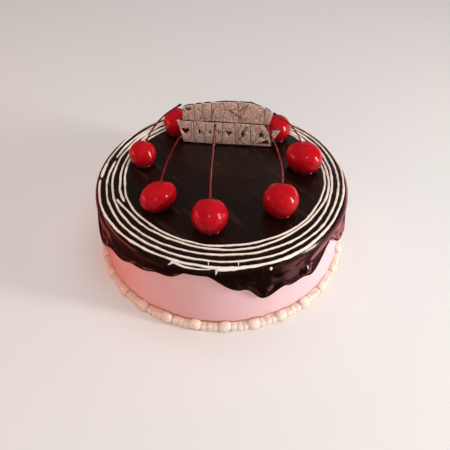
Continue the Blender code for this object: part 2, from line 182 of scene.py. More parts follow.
# Cherries, in mm and degrees: place on the top as radius and angle, width, stretch and its direction,
# lean of the stem's axis as its direction and angle from upright, and the stem's tip over the glaze
CHERRIES = {
    "cherry_left": (56.0, 164.8, 18.6, (1.0, 0), (67, 45), (-26.8, 22.5, 42)),
    "cherry_front_left": (48.8, -143.9, 18.8, (1.35, 46), (77, 42), (-24.9, -11.0, 41)),
    "cherry_front": (48.5, -98.2, 22.3, (1.0, 0), (88, 46), (-3.9, -10.0, 49)),
    "cherry_front_right": (49.7, -42.2, 22.6, (1.0, 0), (83, 45), (26.5, -3.9, 45)),
    "cherry_right": (56.0, 10.7, 21.8, (1.18, -40), (106, 44), (32.9, 15.9, 40)),
    "cherry_back_right": (59.8, 49.3, 19.5, (1.0, 0), (160, 52), (5.0, 54.5, 19)),
    "cherry_back_left": (61.0, 122.2, 20.2, (1.0, 0), (25, 52), (-5.5, 58.5, 18)),
}
CHERRY_CENTRE = 0.41  # height of the centre over the glaze, as a share of the width
FRUIT_FACES = (64, 40)  # round and from top to foot
DIMPLE_DEPTH = 0.16  # this and the next two are shares of the half width
DIMPLE_WIDTH = 0.30
SEAM_DEPTH = 0.035
SEAM_HALF = 26  # degrees
STEM_BEND = 0.45  # how far along the stem's axis it bends, as a share of its length
STEM_STEPS = 40
STEM_SIDES = 12
STEM_DROP = 0.3 * MM  # keeps the knob under the frame's top
FILLET_HEIGHT = 0.6 * MM
FILLET_REACH = 1.2 * MM
FILLET_ROWS = 6
FILLET_STEPS = 56

# Bubbles: near the front right edge with this middle angle and spread and this reach in mm, others
# anywhere with that reach; then their radius
EDGE_BUBBLES = ((-57, 9), (86, 97))
OTHER_BUBBLES = (20, 62)
BUBBLE_RADIUS = (0.15, 0.3)

# Topper, as in the frame: the point where it stands, its turn about +Z and its lean back in degrees
TOPPER_FOOT = (2.6 * MM, 36.2 * MM)
TOPPER_TURN = -4.7
TOPPER_LEAN = 8
TOPPER_THICK = 1.6 * MM
TOPPER_LIFT = 0.3 * MM
# Each row as its tiles from left to right, each with its width in mm and the shape cut through it,
# then how far the row's middle is to +X, and its lowest and highest point
LOWER_ROW = (
    (
        (12.1, "heart"), (7.9, "lozenge"), (7.1, "star"), (5.0, "lozenge"), (9.3, "heart"),
        (10.7, "lozenge"), (15.0, "star"),
    ),
    -1.4 * MM, 0.4 * MM, 17.4 * MM,
)
UPPER_ROW = (
    ((8.2, "heart"), (5.9, "lozenge"), (6.0, None), (18.6, None), (18.0, None), (6.2, None)),
    0.7 * MM, 17.4 * MM, 33.6 * MM,
)
# The upper row's highest point, and how much lower its left and right ends are
CROWN_AT = 12.0 * MM
CROWN_FALL = (5.5 * MM, 7.2 * MM)
# How far the rows' ends slant, and the pointed end of the lower row: its reach, foot and tip
LEFT_TAPER = 4.5 * MM
RIGHT_TAPER = 3.5 * MM
UPPER_TAPER = 2.0 * MM
FLAG_REACH = 6.0 * MM
FLAG_HEIGHTS = (3.5 * MM, 14.0 * MM)
WINDOW_SHARE = 0.26  # size of a window as a share of its tile's width, and the most it may be
WINDOW_MOST = 3.3 * MM
WIDE_TILE = 14 * MM  # a tile wider than this has two slits
TILE_EDGE = 0.25 * MM  # width of a tile's bevelled edge
TILE_LEAN = 0.9 * MM  # how far the hand-cut joints lean and the tiles' ends vary
TILE_UNEVEN = 0.5 * MM
SLIT = (2.3 * MM, 0.25 * MM)  # half length and half width of the slits in the wide tiles
SLIT_TURN = 0.9  # most that a slit is turned, in radians
PLATE_BEVEL = 0.12 * MM

FLOOR_HALF = 2.5  # metres
FLOOR_GAP = 0.1 * MM

# Camera: place and direction in the frame, roll in degrees and lens in mm
CAMERA_AT = (2.3 * MM, -301.4 * MM, 304.1 * MM)
CAMERA_TO = (0, 0.717, -0.697)
CAMERA_ROLL = 0.407
CAMERA_LENS = 46.4

# What reflections see: glows low on the left (-1) and the right (1), and the dim air above. These are
# strengths of light, so a value may be over 1
GLOWS = ((-1, (0.8, 0.16, 0.16, 1)), (1, (2.8, 1.1, 1.2, 1)))
AIR = (0.125, 0.118, 0.112, 1)

UP = Vector((0, 0, 1))


def linear(hex_colour):
    """The linear colour of an sRGB hex value."""
    channels = [int(hex_colour[i:i + 2], 16) / 255 for i in (1, 3, 5)]
    return tuple(c / 12.92 if c <= 0.04045 else ((c + 0.055) / 1.055) ** 2.4 for c in channels)


def shade(hex_colour):
    """The same with an alpha of 1, as a colour socket takes it."""
    return (*linear(hex_colour), 1)


class CakeSizes(bpy.types.PropertyGroup):
    """Sizes of what is finished over the frame."""

    lip_thickness: FloatProperty(
        name="Lip thickness",
        description="Thickness of the rolled lower edge of the glaze at its longest drip",
        default=3.7 * MM, min=1.5 * MM, max=4.2 * MM, precision=5, unit="LENGTH",
    )
    line_width: FloatProperty(
        name="Line width",
        description="Width of a piped line",
        default=1.48 * MM, min=0.6 * MM, max=3.0 * MM, precision=5, unit="LENGTH",
    )
    line_height: FloatProperty(
        name="Line height",
        description="Height of a piped line over the glaze",
        default=0.75 * MM, min=0.3 * MM, max=2.0 * MM, precision=5, unit="LENGTH",
    )
    stem_radius: FloatProperty(
        name="Stem radius",
        description="Radius of a cherry stem half way up",
        default=0.55 * MM, min=0.3 * MM, max=1.0 * MM, precision=5, unit="LENGTH",
    )
    tile_gap: FloatProperty(
        name="Tile gap",
        description="Gap between two tiles of the topper",
        default=0.5 * MM, min=0.2 * MM, max=2.0 * MM, precision=5, unit="LENGTH",
    )
    bubbles: IntProperty(
        name="Bubbles",
        description="Number of small air bubbles on the glaze",
        default=18, min=0, max=200,
    )


class CakeColours(bpy.types.PropertyGroup):
    """Main colours of the finishes."""

    cream: FloatVectorProperty(
        name="Cream",
        description="Pale pink whipped cream on the side",
        default=linear("#F3C0CA"), size=3, min=0, max=1, subtype="COLOR",
    )
    chocolate: FloatVectorProperty(
        name="Chocolate",
        description="Dark chocolate of the poured glaze",
        default=linear("#170B07"), size=3, min=0, max=1, subtype="COLOR",
    )
    icing: FloatVectorProperty(
        name="Icing",
        description="Ivory icing of the piped lines",
        default=linear("#F8ECE2"), size=3, min=0, max=1, subtype="COLOR",
    )
    pearls: FloatVectorProperty(
        name="Pearls",
        description="Ivory cream of the piped pearls",
        default=linear("#FFF0E4"), size=3, min=0, max=1, subtype="COLOR",
    )
    cherry: FloatVectorProperty(
        name="Cherry",
        description="Red of the syrup-soaked cherries",
        default=linear("#C2081A"), size=3, min=0, max=1, subtype="COLOR",
    )
    stem: FloatVectorProperty(
        name="Stem",
        description="Middle of a cherry stem",
        default=linear("#641214"), size=3, min=0, max=1, subtype="COLOR",
    )
    glitter: FloatVectorProperty(
        name="Glitter",
        description="Rose silver glitter of the topper",
        default=linear("#F6CFBC"), size=3, min=0, max=1, subtype="COLOR",
    )
    floor: FloatVectorProperty(
        name="Floor",
        description="Plain pale floor",
        default=linear("#F0EDEB"), size=3, min=0, max=1, subtype="COLOR",
    )


# Node and material helpers


def connect(tree, node, inputs):
    """Gives each named input of a node a value or a link. A node given as a value is linked from the
    first of its outputs that is in use."""
    for socket, value in inputs.items():
        if isinstance(value, bpy.types.Node):
            value = next(output for output in value.outputs if output.enabled)
        if isinstance(value, bpy.types.NodeSocket):
            tree.links.new(value, node.inputs[socket])
        else:
            node.inputs[socket].default_value = value


def add(tree, kind, inputs=None, **settings):
    """Adds a node with its properties, values and links."""
    node = tree.nodes.new(kind)
    for name, value in settings.items():
        setattr(node, name, value)
    connect(tree, node, inputs or {})
    return node


def new_finish(name, **values):
    """A material with its shader's own sockets set; returns it with its tree and shader."""
    made = bpy.data.materials.new(name)
    made.use_nodes = True
    shader = made.node_tree.nodes["Principled BSDF"]
    for socket, value in values.items():
        shader.inputs[socket.replace("_", " ")].default_value = value
    return made, made.node_tree, shader


def per_metre(size_mm):
    """The scale of a pattern whose features are that many millimetres across."""
    return 1 / (size_mm * MM)


def cream_finish(colours):
    """Whipped cream smoothed with a palette knife: soft and matt, with fine pores and faint strokes of the
    knife.
    Painted light and shade run across the side, peach on the left and almost white on the right, with a
    painted warm bounce at the foot, strongest on the left, and a thin brown line of painted contact shade
    where the border meets the side."""
    made, tree, shader = new_finish(
        "smoothed_whipped_cream", Roughness=0.5, IOR=1.45, Subsurface_Weight=0.25,
        Subsurface_Scale=0.002, Subsurface_Radius=(1.0, 0.5, 0.4),
    )
    where = add(tree, "ShaderNodeTexCoord").outputs["Object"]
    axes = add(tree, "ShaderNodeSeparateXYZ", {"Vector": where})
    height = axes.outputs["Z"]
    # Painted light and shade: the side runs from peach on the left, in shade with a warm bounce, to almost
    # white on the right, where the light falls.
    across = add(
        tree, "ShaderNodeMapRange",
        {"Value": axes.outputs["X"], "From Min": -0.9 * SIDE_RADIUS, "From Max": 0.9 * SIDE_RADIUS},
    )
    painted_side_light = add(
        tree, "ShaderNodeMix", {0: across, 6: shade("#EA9484"), 7: shade("#F0E2EA")}, data_type="RGBA"
    )
    drift = add(tree, "ShaderNodeTexNoise", {"Vector": where, "Scale": per_metre(22), "Detail": 3.0})
    patch = add(
        tree, "ShaderNodeMapRange",
        {"Value": drift, "From Min": 0.35, "From Max": 0.65, "To Min": 0.15, "To Max": 0.5},
    )
    body = add(tree, "ShaderNodeMix", {0: patch, 6: painted_side_light, 7: (*colours.cream, 1)}, data_type="RGBA")
    # Painted warm bounce light at the foot of the side, strongest on the left.
    left = add(tree, "ShaderNodeMapRange", {"Value": across, "To Min": 0.5, "To Max": 0.12})
    foot = add(
        tree, "ShaderNodeMapRange",
        {"Value": height, "From Min": 4 * MM, "From Max": 15 * MM, "To Min": left, "To Max": 0.0},
        interpolation_type="SMOOTHSTEP",
    )
    warm = add(tree, "ShaderNodeMix", {0: foot, 6: body, 7: shade("#E8A98C")}, data_type="RGBA")
    # Painted contact shade: a thin wavy brown line where the pearl border meets the side.
    wobble = add(tree, "ShaderNodeTexNoise", {"Vector": where, "Scale": per_metre(7), "Detail": 1.0})
    level = add(
        tree, "ShaderNodeMath", {0: wobble, 1: 3.0 * MM, 2: 4.8 * MM}, operation="MULTIPLY_ADD"
    )
    off = add(tree, "ShaderNodeMath", {0: height, 1: level, 2: 0.7 * MM}, operation="COMPARE")
    painted_contact_shade = add(tree, "ShaderNodeMath", {0: off, 1: 0.8}, operation="MULTIPLY")
    contact_shaded = add(tree, "ShaderNodeMix", {0: painted_contact_shade, 6: warm, 7: shade("#AC6636")}, data_type="RGBA")
    stretched = add(tree, "ShaderNodeMapping", {"Vector": where, "Scale": (1, 1, 7)})
    strokes = add(
        tree, "ShaderNodeTexNoise",
        {"Vector": stretched, "Scale": per_metre(26), "Detail": 4.0, "Roughness": 0.6},
    )
    knife = add(tree, "ShaderNodeBump", {"Strength": 0.25, "Distance": 0.6 * MM, "Height": strokes})
    pores = add(tree, "ShaderNodeTexNoise", {"Vector": where, "Scale": per_metre(0.9), "Detail": 2.0})
    grain = add(
        tree, "ShaderNodeBump",
        {"Strength": 0.18, "Distance": 0.12 * MM, "Height": pores, "Normal": knife},
    )
    sheen = add(tree, "ShaderNodeMapRange", {"Value": strokes, "To Min": 0.42, "To Max": 0.62})
    connect(tree, shader, {"Base Color": contact_shaded, "Roughness": sheen, "Normal": grain})
    return made


def chocolate_finish(colours):
    """Chocolate glaze poured warm and left to set: almost black, satin on top with faint lighter brown sweeps
    in its colour, partly marks of the knife and partly painted sheen, and wet on the side, where its waves
    bend the reflections."""
    made, tree, shader = new_finish(
        "poured_chocolate_glaze", IOR=1.47, Specular_IOR_Level=0.4, Specular_Tint=(1.0, 0.78, 0.74, 1)
    )
    where = add(tree, "ShaderNodeTexCoord").outputs["Object"]
    turned = add(
        tree, "ShaderNodeMapping",
        {"Vector": where, "Rotation": (0, 0, math.radians(-48)), "Scale": (2.4, 0.35, 1)},
        vector_type="TEXTURE",
    )
    sweeps = add(
        tree, "ShaderNodeTexNoise",
        {"Vector": turned, "Scale": per_metre(17), "Detail": 5.0, "Distortion": 0.6},
    )
    # Lighter brown sweeps: partly marks of the knife and partly painted sheen.
    brown = add(
        tree, "ShaderNodeMapRange",
        {"Value": sweeps, "From Min": 0.56, "From Max": 0.74, "To Max": 0.55},
        interpolation_type="SMOOTHSTEP",
    )
    tone = add(
        tree, "ShaderNodeMix", {0: brown, 6: (*colours.chocolate, 1), 7: shade("#3E2A22")},
        data_type="RGBA",
    )
    height = add(tree, "ShaderNodeSeparateXYZ", {"Vector": where}).outputs["Z"]
    film = add(tree, "ShaderNodeTexNoise", {"Vector": where, "Scale": per_metre(9), "Detail": 3.0})
    satin = add(
        tree, "ShaderNodeMapRange",
        {"Value": height, "From Min": RIM_FOOT, "From Max": GLAZE_TOP, "To Min": 0.02, "To Max": 0.2},
    )
    gloss = add(tree, "ShaderNodeMath", {0: film, 1: 0.1, 2: satin}, operation="MULTIPLY_ADD")
    waves = add(tree, "ShaderNodeBump", {"Strength": 0.3, "Distance": 0.6 * MM, "Height": film})
    marks = add(
        tree, "ShaderNodeBump",
        {"Strength": 0.2, "Distance": 0.2 * MM, "Height": sweeps, "Normal": waves},
    )
    connect(tree, shader, {"Base Color": tone, "Roughness": gloss, "Normal": marks})
    return made


def icing_finish(colours):
    """Royal icing piped in thin lines: peach at its foot, where the glaze shows through the thin edge, and
    near-white on its crest, which is partly painted highlight, with a satin skin and slight ridges from the
    nozzle."""
    made, tree, shader = new_finish(
        "piped_ivory_icing", Roughness=0.42, IOR=1.45, Subsurface_Weight=0.2,
        Subsurface_Scale=0.0008, Subsurface_Radius=(1.0, 0.7, 0.5),
    )
    where = add(tree, "ShaderNodeTexCoord").outputs["Object"]
    rise = add(tree, "ShaderNodeAttribute", attribute_name="rise").outputs["Fac"]
    lumps = add(tree, "ShaderNodeTexNoise", {"Vector": where, "Scale": per_metre(3.5), "Detail": 3.0})
    offset = add(tree, "ShaderNodeMath", {0: lumps, 1: 0.5}, operation="SUBTRACT")
    uneven = add(tree, "ShaderNodeMath", {0: rise, 1: offset}, operation="ADD")
    # Near-white on the crest is partly painted highlight; peach at the foot is where the glaze shows through
    # the thin edge.
    crest = add(tree, "ShaderNodeMapRange", {"Value": uneven, "From Min": 0.1, "From Max": 0.75})
    tone = add(
        tree, "ShaderNodeMix", {0: crest, 6: shade("#DDAE8E"), 7: (*colours.icing, 1)}, data_type="RGBA"
    )
    skin = add(tree, "ShaderNodeBump", {"Strength": 0.3, "Distance": 0.15 * MM, "Height": lumps})
    connect(tree, shader, {"Base Color": tone, "Normal": skin})
    return made


def pearl_finish(colours):
    """Ivory buttercream piped in pearls: soft satin, with painted warm bounce and shade turning them peach
    towards the left side, and thin orange-brown lines in the joints, partly syrup and partly painted shade."""
    made, tree, shader = new_finish(
        "piped_buttercream_pearls", Roughness=0.45, IOR=1.45, Subsurface_Weight=0.3,
        Subsurface_Scale=0.0016, Subsurface_Radius=(1.0, 0.6, 0.4),
    )
    where = add(tree, "ShaderNodeTexCoord").outputs["Object"]
    joint = add(tree, "ShaderNodeAttribute", attribute_name="joint").outputs["Fac"]
    mottle = add(tree, "ShaderNodeTexNoise", {"Vector": where, "Scale": per_metre(4), "Detail": 4.0})
    patch = add(tree, "ShaderNodeMapRange", {"Value": mottle, "From Min": 0.3, "From Max": 0.7})
    body = add(
        tree, "ShaderNodeMix", {0: patch, 6: shade("#F6DECD"), 7: (*colours.pearls, 1)}, data_type="RGBA"
    )
    # Painted warm bounce and shade: the pearls turn peach towards the left.
    across = add(tree, "ShaderNodeSeparateXYZ", {"Vector": where}).outputs["X"]
    left = add(
        tree, "ShaderNodeMapRange",
        {
            "Value": across, "From Min": -SIDE_RADIUS, "From Max": -0.1 * SIDE_RADIUS,
            "To Min": 0.6, "To Max": 0.0,
        },
    )
    warm = add(tree, "ShaderNodeMix", {0: left, 6: body, 7: shade("#F2AE94")}, data_type="RGBA")
    # Thin orange-brown lines in the joints between pearls: partly syrup and partly painted shade.
    line = add(
        tree, "ShaderNodeMapRange",
        {"Value": joint, "From Min": 0.8, "From Max": 0.93, "To Max": 0.6},
        interpolation_type="SMOOTHSTEP",
    )
    tone = add(tree, "ShaderNodeMix", {0: line, 6: warm, 7: shade("#BE7A4A")}, data_type="RGBA")
    skin = add(tree, "ShaderNodeBump", {"Strength": 0.25, "Distance": 0.2 * MM, "Height": mottle})
    connect(tree, shader, {"Base Color": tone, "Normal": skin})
    return made


def cherry_finish(colours):
    """A cherry steeped in syrup: a wet, tight skin over flesh that lets light in, with painted shade
    underneath and in the dimple round the stem, and faintly mottled."""
    made, tree, shader = new_finish(
        "syrup_cherry_skin", IOR=1.42, Specular_IOR_Level=0.12, Subsurface_Weight=0.12,
        Subsurface_Scale=0.003, Subsurface_Radius=(1.0, 0.02, 0.02), Coat_Weight=0.5, Coat_Roughness=0.03,
    )
    where = add(tree, "ShaderNodeTexCoord").outputs["Object"]
    painted_dimple_shade = add(tree, "ShaderNodeAttribute", attribute_name="painted_dimple_shade").outputs["Fac"]
    flecks = add(
        tree, "ShaderNodeTexNoise",
        {"Vector": where, "Scale": per_metre(3), "Detail": 5.0, "Distortion": 0.4},
    )
    patch = add(tree, "ShaderNodeMapRange", {"Value": flecks, "From Min": 0.3, "From Max": 0.72})
    deep = (*(c * 0.82 for c in colours.cherry), 1)
    body = add(tree, "ShaderNodeMix", {0: patch, 6: deep, 7: (*colours.cherry, 1)}, data_type="RGBA")
    # Painted shade: darker where the skin faces down, under the fruit and at its lower rim.
    normal = add(tree, "ShaderNodeNewGeometry").outputs["Normal"]
    facing = add(tree, "ShaderNodeSeparateXYZ", {"Vector": normal}).outputs["Z"]
    under = add(
        tree, "ShaderNodeMapRange",
        {"Value": facing, "From Min": 0.45, "From Max": -0.35, "To Max": 0.6},
    )
    shaded = add(tree, "ShaderNodeMix", {0: under, 6: body, 7: shade("#780612")}, data_type="RGBA")
    # Painted shade in the stem's dimple.
    tone = add(tree, "ShaderNodeMix", {0: painted_dimple_shade, 6: shaded, 7: shade("#7A0A0E")}, data_type="RGBA")
    wet = add(tree, "ShaderNodeMapRange", {"Value": flecks, "To Min": 0.2, "To Max": 0.4})
    skin = add(tree, "ShaderNodeBump", {"Strength": 0.15, "Distance": 0.2 * MM, "Height": flecks})
    connect(tree, shader, {"Base Color": tone, "Roughness": wet, "Normal": skin})
    return made


def stem_finish(colours):
    """A cherry stem: dyed red at its foot, fading to dark reddish brown, with a dry dark knob."""
    made, tree, shader = new_finish(
        "cherry_stem", Roughness=0.35, IOR=1.45, Specular_IOR_Level=0.25,
        Coat_Weight=0.4, Coat_Roughness=0.05,
    )
    where = add(tree, "ShaderNodeTexCoord").outputs["Object"]
    along = add(tree, "ShaderNodeAttribute", attribute_name="along").outputs["Fac"]
    fibres = add(tree, "ShaderNodeTexNoise", {"Vector": where, "Scale": per_metre(2.5), "Detail": 4.0})
    start = add(tree, "ShaderNodeMath", {0: along, 1: 0.125}, operation="SUBTRACT")
    uneven = add(tree, "ShaderNodeMath", {0: fibres, 1: 0.25, 2: start}, operation="MULTIPLY_ADD")
    fade = add(tree, "ShaderNodeMapRange", {"Value": uneven, "From Min": 0.05, "From Max": 0.6})
    body = add(
        tree, "ShaderNodeMix", {0: fade, 6: shade("#8A0E16"), 7: (*colours.stem, 1)}, data_type="RGBA"
    )
    tip = add(tree, "ShaderNodeMapRange", {"Value": along, "From Min": 0.9, "From Max": 0.99})
    tone = add(tree, "ShaderNodeMix", {0: tip, 6: body, 7: shade("#2A1512")}, data_type="RGBA")
    ridges = add(tree, "ShaderNodeBump", {"Strength": 0.3, "Distance": 0.1 * MM, "Height": fibres})
    connect(tree, shader, {"Base Color": tone, "Normal": ridges})
    return made


def glitter_finish(name, colour, dark):
    """Glitter card: flakes of foil glued flat but each tilted its own way, with longer dark cracks. Some
    flakes are painted brighter and some darker, as painted glints and painted shade, beside the real tilt of
    their normals. Real flakes of 0.2 mm are too fine to show, so they are drawn 0.7 mm across."""
    made, tree, shader = new_finish(name, Metallic=0.35, Roughness=0.38)
    where = add(tree, "ShaderNodeTexCoord").outputs["Object"]
    flakes = add(tree, "ShaderNodeTexVoronoi", {"Vector": where, "Scale": per_metre(0.7)}).outputs["Color"]
    # Painted glints and shade: each flake's brightness is picked at random.
    painted_flake_flash = add(tree, "ShaderNodeSeparateColor", {"Color": flakes}).outputs["Red"]
    tone = add(tree, "ShaderNodeMapRange", {"Value": painted_flake_flash, "To Min": 0.45, "To Max": 1.0})
    warped = add(
        tree, "ShaderNodeMapping",
        {"Vector": where, "Rotation": (0, math.radians(25), 0), "Scale": (1.3, 1, 0.8)},
    )
    cells = add(
        tree, "ShaderNodeTexVoronoi", {"Vector": warped, "Scale": per_metre(11)},
        feature="DISTANCE_TO_EDGE",
    )
    crack = add(tree, "ShaderNodeMapRange", {"Value": cells, "From Min": 0.004, "From Max": 0.03})
    light = add(tree, "ShaderNodeMath", {0: tone, 1: crack}, operation="MULTIPLY")
    body = add(tree, "ShaderNodeMix", {0: light, 6: shade(dark), 7: (*colour, 1)}, data_type="RGBA")
    tilt = add(tree, "ShaderNodeVectorMath", {0: flakes, 1: (0.5, 0.5, 0.5)}, operation="SUBTRACT")
    lean = add(tree, "ShaderNodeVectorMath", {0: tilt, "Scale": 0.4}, operation="SCALE")
    normal = add(tree, "ShaderNodeNewGeometry").outputs["Normal"]
    mixed = add(tree, "ShaderNodeVectorMath", {0: normal, 1: lean}, operation="ADD")
    unit = add(tree, "ShaderNodeVectorMath", {0: mixed}, operation="NORMALIZE")
    connect(tree, shader, {"Base Color": body, "Normal": unit})
    return made


def painted_edge_highlight_finish():
    """The bevelled edge of a glitter tile: a plain pale colour painted as an edge highlight, so each tile has
    a light outline.
    """
    return new_finish("painted_edge_highlight", Base_Color=shade("#E6D8CE"), Metallic=0.25, Roughness=0.35)[0]


def floor_finish(colours):
    """A plain painted table: pale and matt, with the faintest unevenness."""
    made, tree, shader = new_finish("matt_painted_table", Roughness=0.75, Specular_IOR_Level=0.2)
    where = add(tree, "ShaderNodeTexCoord").outputs["Object"]
    cloud = add(tree, "ShaderNodeTexNoise", {"Vector": where, "Scale": per_metre(300), "Detail": 2.0})
    darker = (*(c * 0.97 for c in colours.floor), 1)
    tone = add(tree, "ShaderNodeMix", {0: cloud, 6: darker, 7: (*colours.floor, 1)}, data_type="RGBA")
    connect(tree, shader, {"Base Color": tone})
    return made


# Mesh helpers


def finish_piece(name, bm, finish, slot, *nodes):
    """Makes a bmesh a piece of the cake: smooth, in place, riding on the cake, for the named nodes."""
    mesh = bpy.data.meshes.new(name)
    bm.to_mesh(mesh)
    bm.free()
    mesh.materials.append(finish)
    mesh.shade_smooth()
    piece = bpy.data.objects.new(name, mesh)
    bpy.context.scene.collection.objects.link(piece)
    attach(piece, "root")
    if nodes:
        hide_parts(*nodes)
    return piece


def chain(bm, points, closed=False):
    """Vertices at the points, joined by edges in turn."""
    verts = [bm.verts.new(p) for p in points]
    edges = [bm.edges.new(pair) for pair in zip(verts, verts[1:])]
    if closed:
        edges.append(bm.edges.new((verts[-1], verts[0])))
    return verts + edges


def wrapped_rows(rows, steps):
    """A grid to be wrapped about Z: until then a vertex's x is its turn and its y its row's number."""
    bm = bmesh.new()
    bmesh.ops.create_grid(bm, x_segments=steps, y_segments=rows - 1, size=1)
    for v in bm.verts:
        v.co = (v.co.x * math.pi, (v.co.y + 1) / 2 * (rows - 1), 0)
    return bm


def polar(radius, turn, height):
    """The point at a radius, a turn in radians from +X and a height."""
    return Vector((radius * math.cos(turn), radius * math.sin(turn), height))


def toward(angle):
    """The level direction at an angle in degrees from +X."""
    return polar(1, math.radians(angle), 0)


def from_to(value, low, high):
    """How far a value is from low to high, eased at both ends."""
    share = min(1.0, max(0.0, (value - low) / (high - low)))
    return share * share * (3 - 2 * share)


def hump(angle, middle, half_width):
    """1 at the middle, falling to 0 at the half width, with angles in degrees."""
    away = abs((angle - middle + 180) % 360 - 180) / half_width
    return math.cos(math.pi / 2 * away) ** 2 if away < 1 else 0.0


def wander(turn, seed, waves):
    """A smooth uneven value from about -1 to 1 that closes on itself round a full turn."""
    spot = Vector((math.cos(turn), math.sin(turn), 0)) * waves / math.tau
    spot.z = seed * 7.31
    return 2 * noise.noise(spot)


def on_glaze(reach, turn, lift=0.0):
    """The point over the glaze at a distance from the middle, measured over its surface."""
    bend = min(max(0.0, reach - FLAT_RADIUS) / RIM_ROUND, math.pi / 2)
    down = max(0.0, reach - FLAT_RADIUS - RIM_ROUND * math.pi / 2)
    radius = min(reach, FLAT_RADIUS) + (RIM_ROUND + lift) * math.sin(bend)
    height = RIM_FOOT + (RIM_ROUND + lift) * math.cos(bend) - down
    return polar(radius, turn, height)


def sweep(bm, route, radii, sides):
    """Extrudes a circle along a route; returns the vertices of each ring and closes both ends."""
    tangents = [(b - a).normalized() for a, b in zip(route, route[1:])]
    tangents.append(tangents[-1])
    facing = tangents[0].to_track_quat("Z", "Y")
    ring = bmesh.ops.create_circle(bm, segments=sides, radius=1)["verts"]
    edges = list({e for v in ring for e in v.link_edges})
    place = Matrix.Translation(route[0]) @ facing.to_matrix().to_4x4() @ Matrix.Scale(radii[0], 4)
    bmesh.ops.transform(bm, matrix=place, verts=ring)
    rings = [ring]
    ends = [edges]
    for i in range(1, len(route)):
        facing = tangents[i - 1].rotation_difference(tangents[i]) @ facing
        there = Matrix.Translation(route[i]) @ facing.to_matrix().to_4x4() @ Matrix.Scale(radii[i], 4)
        grown = bmesh.ops.extrude_edge_only(bm, edges=edges)["geom"]
        ring = [g for g in grown if isinstance(g, bmesh.types.BMVert)]
        edges = [g for g in grown if isinstance(g, bmesh.types.BMEdge)]
        edges = [e for e in edges if e.verts[0] in ring and e.verts[1] in ring]
        bmesh.ops.transform(bm, matrix=there @ place.inverted(), verts=ring)
        place = there
        rings.append(ring)
    ends.append(edges)
    for loop in ends:
        bmesh.ops.contextual_create(bm, geom=loop)
    return rings


# Cream and glaze


def cream_body():
    """The cream-coated cake: a turned solid whose side keeps the faint waves of the palette knife."""
    rim = [
        (SIDE_RADIUS - CREAM_ROUND * (1 - math.sin(t)), CREAM_TOP - CREAM_ROUND * (1 - math.cos(t)))
        for t in [math.pi / 2 * i / CREAM_RIM_ROWS for i in range(CREAM_RIM_ROWS + 1)]
    ]
    wall = [
        (SIDE_RADIUS, (CREAM_TOP - CREAM_ROUND) * (1 - i / CREAM_WALL_ROWS))
        for i in range(1, CREAM_WALL_ROWS + 1)
    ]
    profile = [(0, CREAM_TOP), *rim, *wall, (0, 0)]
    bm = bmesh.new()
    geom = chain(bm, [(r, 0, z) for r, z in profile])
    bmesh.ops.spin(
        bm, geom=geom, cent=(0, 0, 0), axis=(0, 0, 1), angle=math.tau,
        steps=CREAM_STEPS, use_merge=True, use_duplicate=False,
    )
    bmesh.ops.remove_doubles(bm, verts=bm.verts, dist=1e-6)
    for v in bm.verts:
        radius = math.hypot(v.co.x, v.co.y)
        if radius < SIDE_RADIUS - 0.1 * MM:
            continue
        spot = Vector((v.co.x, v.co.y, v.co.z * 2.5))
        knife = sum(high * noise.noise(spot * per_metre(length)) for length, high in KNIFE_WAVES)
        v.co.x *= 1 + knife / radius
        v.co.y *= 1 + knife / radius
    bmesh.ops.recalc_face_normals(bm, faces=bm.faces)
    return bm


def all_drips():
    """The drips in front, then those round the back at an uneven spacing."""
    rng = random.Random(7)
    step = (BACK_TO - BACK_FROM) / BACK_DRIPS
    drips = list(FRONT_DRIPS)
    for i in range(BACK_DRIPS):
        angle = BACK_FROM + step * (i + 0.5 + rng.uniform(-0.18, 0.18))
        drips.append((angle, rng.uniform(9, 15), rng.uniform(9, 24) * MM))
    return drips


def drip_depth(turn, drips):
    """How far below the even edge the glaze runs at an angle."""
    from_front = math.degrees(turn) + 90
    return sum(depth * hump(from_front, middle, half) for middle, half, depth in drips)


class GlazeColumn:
    """What the glaze does at one angle: how low it runs, how thick its lip is, how its edge slants."""

    def __init__(self, turn, drips, lip_thickness):
        here = drip_depth(turn, drips)
        change = drip_depth(turn + SLOPE_SPAN, drips) - drip_depth(turn - SLOPE_SPAN, drips)
        slope = change / (2 * SLOPE_SPAN * GLAZE_RADIUS)
        self.share = min(1.0, here / DEEPEST)
        self.slant = min(STEEPEST, math.sqrt(1 + slope**2))
        self.lowest = GLAZE_TOP - EDGE_DROP - here + EDGE_WANDER * wander(turn, 1, 46)
        even = GLAZE_OVER_CREAM
        self.lip = even + (lip_thickness - even) * self.share ** 0.7 / self.slant ** 0.5
        self.thin = even - WALL_THIN * self.share


